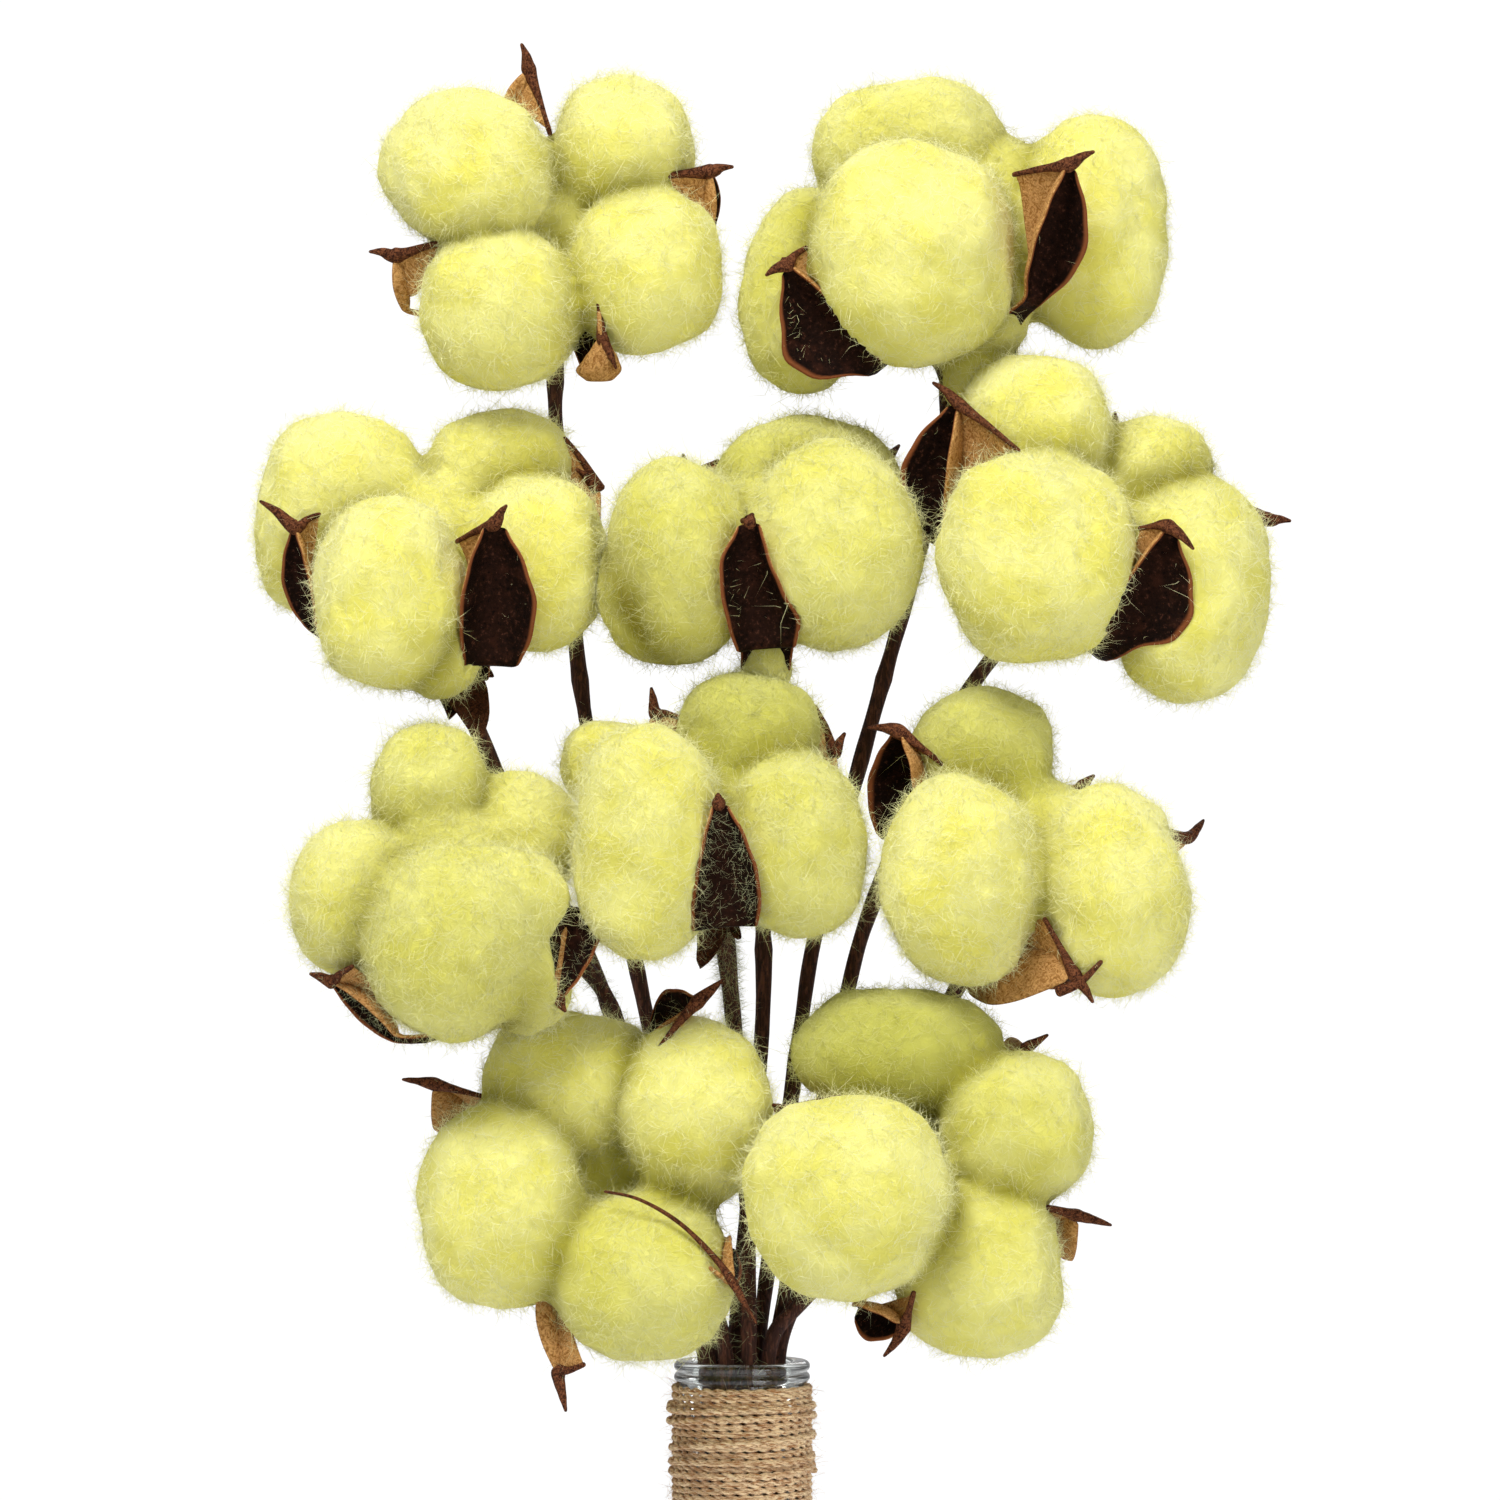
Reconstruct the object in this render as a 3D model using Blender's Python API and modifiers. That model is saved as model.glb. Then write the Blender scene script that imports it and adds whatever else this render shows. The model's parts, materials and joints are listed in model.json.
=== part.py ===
"""Cotton stem bunch: ten dried cotton bolls on brown stems, in a glass bottle vase wound with jute.

All lengths below are in millimetres. +Z is up, the origin is the centre of the vase's base, and
the bunch is arranged to be seen from the front, along +Y.
"""

import math

import bmesh
import bpy
from mathutils import Matrix, Vector
from mathutils.bvhtree import BVHTree

MM = 0.001
MERGE_DISTANCE = 0.01 * MM
COLLECTION_NAME = "cotton_stem_bunch"

# Vase: a bottle with a ringed lip, a long neck and a straight body.
VASE_HEIGHT = 220.0
LIP_RADIUS = 13.6
LIP_HEIGHT = 4.4
LIP_GROOVE = 0.35
NECK_RADIUS = 12.4
NECK_BOTTOM = 150.0
BORE_RADIUS = 9.8
BODY_RADIUS = 36.0
BODY_TOP = 112.0
BASE_RADIUS = 33.0
HEEL_HEIGHT = 5.0
WALL = 2.6
FLOOR = 7.0
SHOULDER_STEPS = 6
TURN_STEPS = 28

# Jute: a sleeve as thick as one layer of twine, from the shoulder to just under the lip.
TWINE = 2.0
JUTE_BOTTOM = 149.0
JUTE_TOP = 215.0
JUTE_CLEARANCE = 0.3

# Stems: ten in a ring along the wall of the bore, which leaves the middle of the neck open.
STEM_RADIUS = 1.5
STEM_COUNT = 10
STEM_RING = 7.8
STEM_FIRST_ANGLE = 316.0
STEM_FOOT_RING = 26.0
STEM_FOOT_HEIGHT = FLOOR + 0.4
STEM_GATHER_HEIGHT = 138.0
STEM_EXIT_HEIGHT = VASE_HEIGHT + 3.0
STEM_LAST_RISE = 20.0
STEM_END_GAP = 0.9
SAMPLES_PER_SPAN = 2

# Cotton: overlapping round locks, melted together and thinned to a plain collision shape.
COTTON_VOXEL = 3.4
COTTON_FACETS = 0.24
LOCK_SEGMENTS = 16
LOCK_RINGS = 10

# Burr: a cup under the cotton, with pointed valves that lie over the creases between locks.
COTTON_GAP = 1.1
VALVE_THICKNESS = 1.0
CUP_ANGLE = math.radians(24.0)
RIM_LIFT = 1.2
PROBE_TURNS = 8
PROBE_LEANS = (0.0, math.radians(5.0), math.radians(10.0))
PROBE_REACH = 90.0 * MM
# Half width of a valve along its length, as a share of its widest: from the cup to the foot of
# the tip, where it leaves the cotton.
VALVE_OUTLINE = (0.6, 0.86, 1.0, 0.94, 0.76, 0.5)
HOOK_SHARE = 0.24
TIP_HALF_WIDTH = 0.5

# One entry for each boll:
#   core    the middle of the cotton
#   base    the direction from the core to the burr's cup
#   slot    the stem's place in the ring, counted from the front right, seen from above
#   locks   (centre), (half width, half depth, half height)
#   valves  (foot of the tip), (tip), widest half width
#   route   the stem's way from the vase's mouth to the burr
BOLLS = (
    {
        "core": (-37, 10, 449),
        "base": (-0.05, 0.75, -0.65),
        "slot": 5,
        "locks": (
            ((-54, 2, 459), (17, 17, 16)),
            ((-24, 8, 464), (14.5, 16, 14)),
            ((-19, 2, 438), (15.4, 17, 17.3)),
            ((-49, 0, 430), (17.2, 17, 16.2)),
            ((-37, 10, 449), (14, 15, 14)),
        ),
        "valves": (
            ((-39, 6, 468), (-44, 2, 483), 5.5),
            ((-10, 8, 455), (-2, 4, 459), 5.5),
            ((-67, 8, 442), (-75, 6, 442), 6.5),
            ((-29, -2, 422), (-24, -8, 417), 5.5),
        ),
        "route": ((-20, 12, 292), (-31, 20, 344), (-35, 26, 376), (-38, 31, 408), (-38, 33, 424)),
    },
    {
        "core": (42, 10, 445),
        "base": (0.0, 0.25, -0.97),
        "slot": 3,
        "locks": (
            ((34, -8, 441), (21, 20, 22.3)),
            ((33, 16, 463), (20, 18, 15)),
            ((70, 10, 447), (17, 20, 25)),
            ((13, 8, 434), (13.5, 18, 20.5)),
            ((46, 6, 428.5), (12, 14, 10.5)),
            ((42, 12, 445), (18, 18, 18)),
        ),
        "valves": (
            ((63, -14, 450), (68, -18, 459), 8),
            ((10, -10, 434), (5, -12, 437), 8),
            ((55, 36, 463), (58, 42, 467), 6),
            ((29, 34, 444), (26, 40, 450), 6),
        ),
        "route": ((11, 10, 280), (15, 11, 306), (24, 13, 340), (33, 15, 372), (41, 16, 402)),
    },
    {
        "core": (-62, 0, 380),
        "base": (0.2, -0.1, -0.97),
        "slot": 6,
        "locks": (
            ((-70, -18, 373), (16, 18, 19.5)),
            ((-41, -6, 379), (15.4, 17, 19)),
            ((-80, 4, 388), (18, 18, 22)),
            ((-48, 8, 398), (15.5, 14, 12.5)),
            ((-62, 0, 380), (17, 15, 17)),
        ),
        "valves": (
            ((-88, -10, 386), (-95, -8, 391), 6),
            ((-49, -27, 382), (-46, -31, 388), 7.5),
            ((-29, 4, 392), (-33, 2, 398), 6),
            ((-67, 26, 389), (-70, 32, 397), 6),
        ),
        "route": ((-16, 7, 254), (-28, 5, 294), (-42, 2, 322), (-52, -1, 344)),
    },
    {
        "core": (6, -5, 383),
        "base": (-0.03, 0.3, -0.95),
        "slot": 4,
        "locks": (
            ((-13, -14, 380), (14.2, 18, 21)),
            ((18.5, -14, 385), (17.6, 19, 22.5)),
            ((14, 6, 395), (18.5, 16, 14)),
            ((6, -5, 383), (15, 14, 16)),
        ),
        "valves": (
            ((2, -31, 379), (1, -34, 387), 7.5),
            ((-10, 14, 396), (-12, 20, 402), 6),
            ((28, 18, 399), (32, 24, 404), 6),
        ),
        "route": ((4, 9, 285), (4, 9, 320), (5, 6, 348)),
    },
    {
        "core": (72, 0, 386),
        "base": (-0.62, 0.4, -0.67),
        "slot": 2,
        "locks": (
            ((58, -20, 380), (19.3, 19, 21)),
            ((59, -8, 407), (15.5, 15, 14)),
            ((83, -2, 400), (12, 14, 11.5)),
            ((90, -8, 374), (17, 18, 23.7)),
            ((72, 0, 386), (16, 15, 17)),
        ),
        "valves": (
            ((42, -8, 405), (38, -8, 414), 8),
            ((82, -28, 378), (86, -32, 381), 8),
            ((105, 8, 389), (111, 8, 388), 5),
            ((75, 24, 405), (76, 30, 411), 6),
        ),
        "route": ((20, 8, 288), (27, 9, 313), (42, 11, 348)),
    },
    {
        "core": (-57, -25, 316),
        "base": (0.75, 0.45, -0.45),
        "slot": 8,
        "locks": (
            ((-54, -38, 305), (22, 19, 22)),
            ((-76, -28, 312), (13, 16, 16)),
            ((-62, -20, 335), (11.3, 14, 12.5)),
            ((-43, -18, 326), (11.8, 12, 13)),
            ((-57, -25, 316), (14, 14, 15)),
        ),
        "valves": (
            ((-76, -32, 295), (-82, -34, 300), 6),
            ((-35, -24, 300), (-34, -26, 292), 5.5),
            ((-60, 4, 332), (-62, 10, 338), 6),
        ),
        "route": ((-9, -2, 240), (-14, 2, 256), (-22, 1, 279), (-29, -6, 296)),
    },
    {
        "core": (-8, -18, 329),
        "base": (0.2, 0.15, -0.97),
        "slot": 9,
        "locks": (
            ((-18, -34, 324), (15.5, 17, 23.7)),
            ((11, -28, 324), (14.3, 17, 18.5)),
            ((1, -16, 345), (15, 15, 11.8)),
            ((-27, -7, 339), (10.5, 11, 9)),
            ((-4, -18, 328), (15, 14, 15)),
        ),
        "valves": (
            ((-4, -46, 326), (-5, -49, 333), 7),
            ((-17, -14, 348), (-18, -14, 354), 4.5),
            ((18, -14, 340), (20, -12, 345), 5),
            ((-10, 4, 338), (-12, 8, 344), 5),
        ),
        "route": ((1, -3, 250), (-1, -1, 280)),
    },
    {
        "core": (58, -14, 322),
        "base": (-0.25, 0.8, -0.55),
        "slot": 1,
        "locks": (
            ((43, -28, 317), (16.3, 18, 21.5)),
            ((73, -22, 314), (16.6, 18, 22)),
            ((48, -10, 341), (14.8, 15, 12.8)),
            ((58, -14, 322), (15, 14, 15)),
        ),
        "valves": (
            ((30, -14, 336), (25, -16, 346), 8.5),
            ((62, -30, 299), (68, -34, 294), 8.5),
            ((67, -12, 334), (70, -10, 337), 5),
            ((88, 4, 324), (93, 10, 328), 5.5),
        ),
        "route": ((14, 2, 238), (28, 5, 264), (42, 7, 292)),
    },
    {
        "core": (-28, -14, 260),
        "base": (0.1, 0.85, -0.5),
        "slot": 7,
        "locks": (
            ((-34, -16, 276), (18, 16, 15.6)),
            ((-9, -24, 271), (15.6, 15, 19.5)),
            ((-47, -26, 252), (16.7, 17, 21)),
            ((-19, -28, 239), (19, 17, 17.6)),
            ((-28, -14, 260), (13, 13, 13)),
        ),
        "valves": (
            ((-54, -14, 273), (-67, -12, 278), 6),
            ((-12, -18, 289), (-4, -18, 297), 6),
            ((-4, -42, 249), (2, -46, 234), 4.5),
            ((-36, -30, 232), (-34, -32, 215), 6.5),
        ),
        "route": ((-14, -2, 234), (-23, 1, 246)),
    },
    {
        "core": (38, -20, 261),
        "base": (-0.1, 0.85, -0.5),
        "slot": 0,
        "locks": (
            ((30, -24, 283), (21, 16, 13.2)),
            ((21, -46, 256), (20.5, 17, 20)),
            ((54, -30, 268), (16, 16, 15)),
            ((46, -32, 241), (17.3, 17, 18)),
            ((38, -20, 261), (14, 14, 14)),
        ),
        "valves": (
            ((53, -22, 280), (60, -22, 286), 4.5),
            ((62, -28, 254), (71, -30, 251), 5),
            ((27, -40, 236), (22, -46, 234), 6),
            ((9, -36, 271), (6, -40, 273), 5),
        ),
        "route": ((12, -5, 232), (27, -3, 247)),
    },
)


# ---- materials ---------------------------------------------------------------------------------


def make_material(name, colour, roughness, transmission=0.0):
    """A Principled material with one colour."""
    material = bpy.data.materials.new(name)
    material.use_nodes = True
    shader = material.node_tree.nodes["Principled BSDF"]
    shader.inputs["Base Color"].default_value = (*colour, 1.0)
    shader.inputs["Roughness"].default_value = roughness
    shader.inputs["Metallic"].default_value = 0.0
    shader.inputs["Transmission Weight"].default_value = transmission
    material.diffuse_color = (*colour, 1.0)
    return material


def add_object(name, data, material, collection, location=(0.0, 0.0, 0.0)):
    """An object for one sub-part, in the bunch's collection."""
    item = bpy.data.objects.new(name, data)
    item.location = location
    data.materials.append(material)
    collection.objects.link(item)
    return item


# ---- vase and jute -----------------------------------------------------------------------------


def shoulder(inset):
    """Points down the shoulder, from the neck to the body, moved inwards by inset."""
    top_radius = NECK_RADIUS - inset
    bottom_radius = BODY_RADIUS - inset
    points = []
    for step in range(SHOULDER_STEPS + 1):
        share = step / SHOULDER_STEPS
        blend = (1.0 - math.cos(math.pi * share)) / 2.0
        height = NECK_BOTTOM + (BODY_TOP - NECK_BOTTOM) * share
        points.append((top_radius + (bottom_radius - top_radius) * blend, height))
    return points


def vase_profile():
    """Radius and height from the floor up the inside, over the lip and down the outside."""
    lip_bottom = VASE_HEIGHT - LIP_HEIGHT
    groove = VASE_HEIGHT - LIP_HEIGHT / 2.0
    neck_inset = NECK_RADIUS - BORE_RADIUS
    inside = [(radius, height) for radius, height in reversed(shoulder(neck_inset))]
    floor = [
        (0.0, FLOOR),
        (BODY_RADIUS - WALL - HEEL_HEIGHT, FLOOR),
        (BODY_RADIUS - neck_inset, FLOOR + HEEL_HEIGHT),
    ]
    mouth = [
        (BORE_RADIUS, VASE_HEIGHT - 1.0),
        (BORE_RADIUS + 1.0, VASE_HEIGHT),
        (LIP_RADIUS - 0.8, VASE_HEIGHT),
        (LIP_RADIUS, VASE_HEIGHT - 0.8),
        (LIP_RADIUS, groove + LIP_GROOVE),
        (LIP_RADIUS - LIP_GROOVE, groove),
        (LIP_RADIUS, groove - LIP_GROOVE),
        (LIP_RADIUS, lip_bottom),
        (NECK_RADIUS, lip_bottom),
    ]
    base = [(BODY_RADIUS, HEEL_HEIGHT), (BASE_RADIUS, 0.0), (0.0, 0.0)]
    return floor + inside + mouth + shoulder(0.0) + base


def turned_mesh(name, profile):
    """An open outline of vertices and edges in the XZ plane, ready for a Screw modifier."""
    mesh = bpy.data.meshes.new(name)
    points = [(radius * MM, 0.0, height * MM) for radius, height in profile]
    edges = [(index, index + 1) for index in range(len(points) - 1)]
    mesh.from_pydata(points, edges, [])
    return mesh


def add_turn(item):
    """Turn an outline once round the Z axis."""
    screw = item.modifiers.new("turn", "SCREW")
    screw.steps = TURN_STEPS
    screw.render_steps = TURN_STEPS
    screw.use_merge_vertices = True
    screw.merge_threshold = MERGE_DISTANCE
    screw.use_smooth_shade = True


def make_vase(material, collection):
    """The glass bottle, hollow and open at the mouth."""
    item = add_object("glass_vase", turned_mesh("glass_vase", vase_profile()), material, collection)
    add_turn(item)


def make_jute(material, collection):
    """The wound twine as one sleeve round the neck."""
    inner = NECK_RADIUS + JUTE_CLEARANCE
    outer = inner + TWINE
    edge = TWINE / 4.0
    profile = [
        (inner, JUTE_BOTTOM + edge),
        (inner, JUTE_TOP),
        (outer - edge, JUTE_TOP),
        (outer, JUTE_TOP - edge),
        (outer, JUTE_BOTTOM + edge),
        (outer - edge, JUTE_BOTTOM),
        (inner + edge, JUTE_BOTTOM),
        (inner, JUTE_BOTTOM + edge),
    ]
    item = add_object("jute_wrap", turned_mesh("jute_wrap", profile), material, collection)
    add_turn(item)


# ---- cotton ------------------------------------------------------------------------------------


def make_cotton(number, boll, material, collection):
    """One boll's locks, melted into a single closed shape round the core."""
    core = Vector(boll["core"])
    shape = bmesh.new()
    for centre, radii in boll["locks"]:
        place = Matrix.Translation((Vector(centre) - core) * MM)
        size = Matrix.Diagonal((*(Vector(radii) * MM), 1.0))
        bmesh.ops.create_uvsphere(
            shape,
            u_segments=LOCK_SEGMENTS,
            v_segments=LOCK_RINGS,
            radius=1.0,
            matrix=place @ size,
        )
    name = f"cotton_{number:02d}"
    mesh = bpy.data.meshes.new(name)
    shape.to_mesh(mesh)
    shape.free()
    item = add_object(name, mesh, material, collection, core * MM)
    melt = item.modifiers.new("melt", "REMESH")
    melt.mode = "VOXEL"
    melt.voxel_size = COTTON_VOXEL * MM
    soften = item.modifiers.new("soften", "SMOOTH")
    soften.factor = 0.5
    soften.iterations = 2
    thin = item.modifiers.new("thin", "DECIMATE")
    thin.ratio = COTTON_FACETS
    return item


# ---- burr --------------------------------------------------------------------------------------


def clear_radius(cotton_tree, direction):
    """How far from the core a point must be to clear the cotton round this direction."""
    side = direction.orthogonal().normalized()
    farthest = 0.0
    for turn in range(PROBE_TURNS):
        turned = Matrix.Rotation(2.0 * math.pi * turn / PROBE_TURNS, 3, direction) @ side
        for lean in PROBE_LEANS:
            ray = direction * math.cos(lean) + turned * math.sin(lean)
            hit = cotton_tree.ray_cast(ray * PROBE_REACH, -ray)[0]
            if hit is not None:
                farthest = max(farthest, hit.dot(direction))
    return farthest + COTTON_GAP * MM


def valve_rows(cotton_tree, base, foot, tip, half_width):
    """Rows of left, middle and right points, from the cup's edge to the tip of one valve."""
    reach = base.angle(foot)
    across = base.cross(foot).normalized()
    rows = []
    for step, share in enumerate(VALVE_OUTLINE):
        along = CUP_ANGLE + (reach - CUP_ANGLE) * step / (len(VALVE_OUTLINE) - 1)
        middle = Matrix.Rotation(along, 3, across) @ base
        radius = clear_radius(cotton_tree, middle)
        row = [middle * radius]
        for sign in (-1.0, 1.0):
            offset = across * (sign * half_width * share * MM / radius)
            edge = (middle + offset).normalized()
            lift = 0.0 if step == 0 else RIM_LIFT * share * MM
            row.append(edge * (clear_radius(cotton_tree, edge) + lift))
        rows.append((row[1], row[0], row[2]))
    foot_point = rows[-1][1]
    bend = foot_point.lerp(tip, 0.5) + foot.normalized() * (tip - foot_point).length * 0.15
    for point, width in ((bend, half_width * HOOK_SHARE), (tip, TIP_HALF_WIDTH)):
        rows.append(tuple(point + across * (sign * width * MM) for sign in (-1.0, 0.0, 1.0)))
    return rows


def make_burr(number, boll, cotton, material, collection):
    """The dried seed case: a cup and its valves as one sheet, thickened outwards."""
    core = Vector(boll["core"])
    base = Vector(boll["base"]).normalized()
    depsgraph = bpy.context.evaluated_depsgraph_get()
    cotton_tree = BVHTree.FromObject(cotton, depsgraph)
    side = base.orthogonal().normalized()

    def turn_angle(foot):
        flat = foot - base * foot.dot(base)
        return math.atan2(base.dot(side.cross(flat)), side.dot(flat))

    valves = []
    for foot, tip, half_width in boll["valves"]:
        valves.append(((Vector(foot) - core), (Vector(tip) - core) * MM, half_width))
    valves.sort(key=lambda valve: turn_angle(valve[0]))

    sheet = bmesh.new()
    ring = []
    for foot, tip, half_width in valves:
        rows = valve_rows(cotton_tree, base, foot.normalized(), tip, half_width)
        grid = [[sheet.verts.new(point) for point in row] for row in rows]
        for below, above in zip(grid, grid[1:]):
            for column in range(2):
                corners = (below[column], below[column + 1], above[column + 1], above[column])
                sheet.faces.new(corners)
        ring.extend(grid[0])
    cup_depth = max(corner.co.dot(base) for corner in ring)
    cup_depth = max(cup_depth, clear_radius(cotton_tree, base))
    centre = sheet.verts.new(base * cup_depth)
    for index, corner in enumerate(ring):
        sheet.faces.new((centre, ring[(index + 1) % len(ring)], corner))
    bmesh.ops.recalc_face_normals(sheet, faces=sheet.faces)
    cup_face = next(iter(centre.link_faces))
    cup_face.normal_update()
    if cup_face.normal.dot(base) < 0.0:
        bmesh.ops.reverse_faces(sheet, faces=sheet.faces)
    name = f"burr_{number:02d}"
    mesh = bpy.data.meshes.new(name)
    sheet.to_mesh(mesh)
    sheet.free()
    item = add_object(name, mesh, material, collection, core * MM)
    thicken = item.modifiers.new("thicken", "SOLIDIFY")
    thicken.thickness = VALVE_THICKNESS * MM
    thicken.offset = 1.0
    return cup_depth / MM + VALVE_THICKNESS


# ---- stems -------------------------------------------------------------------------------------


def ring_point(slot, radius, height):
    """A stem's place at this height, in its own slot round the vase's axis."""
    angle = math.radians(STEM_FIRST_ANGLE + slot * 360.0 / STEM_COUNT)
    return Vector((radius * math.cos(angle), radius * math.sin(angle), height))


def smooth_route(below, points):
    """Points read from a Catmull-Rom curve through the route, which comes up from below."""
    ends = [below, *points, points[-1] * 2.0 - points[-2]]
    smooth = []
    for before, start, end, after in zip(ends, ends[1:], ends[2:], ends[3:]):
        for step in range(SAMPLES_PER_SPAN):
            t = step / SAMPLES_PER_SPAN
            smooth.append(
                0.5
                * (
                    2.0 * start
                    + (end - before) * t
                    + (2.0 * before - 5.0 * start + 4.0 * end - after) * t**2
                    + (3.0 * start - before - 3.0 * end + after) * t**3
                )
            )
    smooth.append(points[-1])
    return smooth


def make_stem(number, boll, cup_radius, material, collection):
    """One stem, from the vase's floor through the neck to its burr."""
    slot = boll["slot"]
    base = Vector(boll["base"]).normalized()
    end = Vector(boll["core"]) + base * (cup_radius + STEM_END_GAP)
    foot = ring_point(slot, STEM_FOOT_RING, STEM_FOOT_HEIGHT)
    gather = ring_point(slot, STEM_RING, STEM_GATHER_HEIGHT)
    rise = ring_point(slot, STEM_RING, STEM_EXIT_HEIGHT - STEM_LAST_RISE)
    leave = ring_point(slot, STEM_RING, STEM_EXIT_HEIGHT)
    outside = smooth_route(rise, [leave, *(Vector(point) for point in boll["route"]), end])
    route = [foot, gather, *outside]
    name = f"stem_{number:02d}"
    curve = bpy.data.curves.new(name, "CURVE")
    curve.dimensions = "3D"
    curve.bevel_depth = STEM_RADIUS * MM
    curve.bevel_resolution = 2
    curve.use_fill_caps = True
    spline = curve.splines.new("POLY")
    spline.points.add(len(route) - 1)
    for point, place in zip(spline.points, route):
        point.co = (*(place * MM), 1.0)
    add_object(name, curve, material, collection)


# ---- the whole bunch ---------------------------------------------------------------------------


def main():
    for item in list(bpy.data.objects):
        bpy.data.objects.remove(item)
    collection = bpy.data.collections.new(COLLECTION_NAME)
    bpy.context.scene.collection.children.link(collection)
    glass = make_material("clear_glass", (0.86, 0.90, 0.89), 0.05, transmission=1.0)
    jute = make_material("jute_twine", (0.62, 0.45, 0.27), 0.9)
    bark = make_material("stem_bark", (0.09, 0.035, 0.02), 0.65)
    husk = make_material("dried_burr", (0.16, 0.06, 0.03), 0.6)
    fibre = make_material("dyed_cotton", (0.86, 0.88, 0.28), 0.95)
    make_vase(glass, collection)
    make_jute(jute, collection)
    for number, boll in enumerate(BOLLS, start=1):
        cotton = make_cotton(number, boll, fibre, collection)
        cup_radius = make_burr(number, boll, cotton, husk, collection)
        make_stem(number, boll, cup_radius, bark, collection)


if __name__ == "__main__":
    main()
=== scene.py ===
"""Looks of the cotton stem bunch: dyed cotton bolls on bark-covered stems in a jute-wound bottle.

Lengths in the tables are in millimetres, in the frame's own axes. The settings are in metres.
"""

import json
import math

import bpy
import numpy as np
from bpy.props import FloatProperty, FloatVectorProperty, IntProperty, PointerProperty
from mathutils import Matrix, Vector
from mathutils.bvhtree import BVHTree

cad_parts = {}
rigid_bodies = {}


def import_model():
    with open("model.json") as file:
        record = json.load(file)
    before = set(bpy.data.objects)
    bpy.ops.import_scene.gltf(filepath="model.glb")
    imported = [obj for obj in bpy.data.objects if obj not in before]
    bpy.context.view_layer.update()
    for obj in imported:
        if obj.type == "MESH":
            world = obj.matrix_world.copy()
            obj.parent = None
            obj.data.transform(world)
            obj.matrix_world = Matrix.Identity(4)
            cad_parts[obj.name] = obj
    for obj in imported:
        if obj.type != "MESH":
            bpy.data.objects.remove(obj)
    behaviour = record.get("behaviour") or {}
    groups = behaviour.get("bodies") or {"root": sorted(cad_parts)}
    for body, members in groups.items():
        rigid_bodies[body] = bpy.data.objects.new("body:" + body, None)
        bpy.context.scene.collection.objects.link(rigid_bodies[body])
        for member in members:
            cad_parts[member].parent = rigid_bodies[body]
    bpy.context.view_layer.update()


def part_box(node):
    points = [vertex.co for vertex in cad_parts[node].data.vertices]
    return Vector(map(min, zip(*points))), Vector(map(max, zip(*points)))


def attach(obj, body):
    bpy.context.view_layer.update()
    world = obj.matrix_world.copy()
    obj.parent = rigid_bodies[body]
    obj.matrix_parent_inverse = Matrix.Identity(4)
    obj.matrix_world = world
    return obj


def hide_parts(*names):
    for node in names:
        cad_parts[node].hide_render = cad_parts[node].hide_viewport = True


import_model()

bl_info = {
    "name": "Cotton Stem Bunch",
    "version": (1, 0, 0),
    "blender": (4, 5, 0),
    "location": "3D View > Sidebar > Cotton Bunch",
    "description": "Builds a bunch of cotton stems in a glass bottle vase wound with jute",
    "category": "Object",
}

MM = 0.001
SIDEBAR_TAB = "Cotton Bunch"

# ---- the bunch's own sizes -----------------------------------------------------------------------


def valve(
    foot,
    tip,
    low=None,
    start=None,
    face=None,
    left=5,
    right=5,
    depth=4,
    bulge=1.5,
    neck=None,
    path=(),
    prong=(),
):
    """One valve of a burr, a boat-shaped blade with a woody bar and beak at its upper end.

    foot and low are the blade's two ends, and face is the way it opens. left and right are its
    half widths, seen from where it faces, and one number is the widest. The bar runs from start,
    on the crown, by path and neck to the beak's tip. A prong is a second, short point, from one
    place to another. What isn't given follows the cotton.
    """
    return dict(
        foot=foot,
        tip=tip,
        low=low,
        start=start,
        face=face,
        left=left,
        right=right,
        depth=depth,
        bulge=bulge,
        neck=neck,
        path=path,
        prong=prong,
    )


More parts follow.
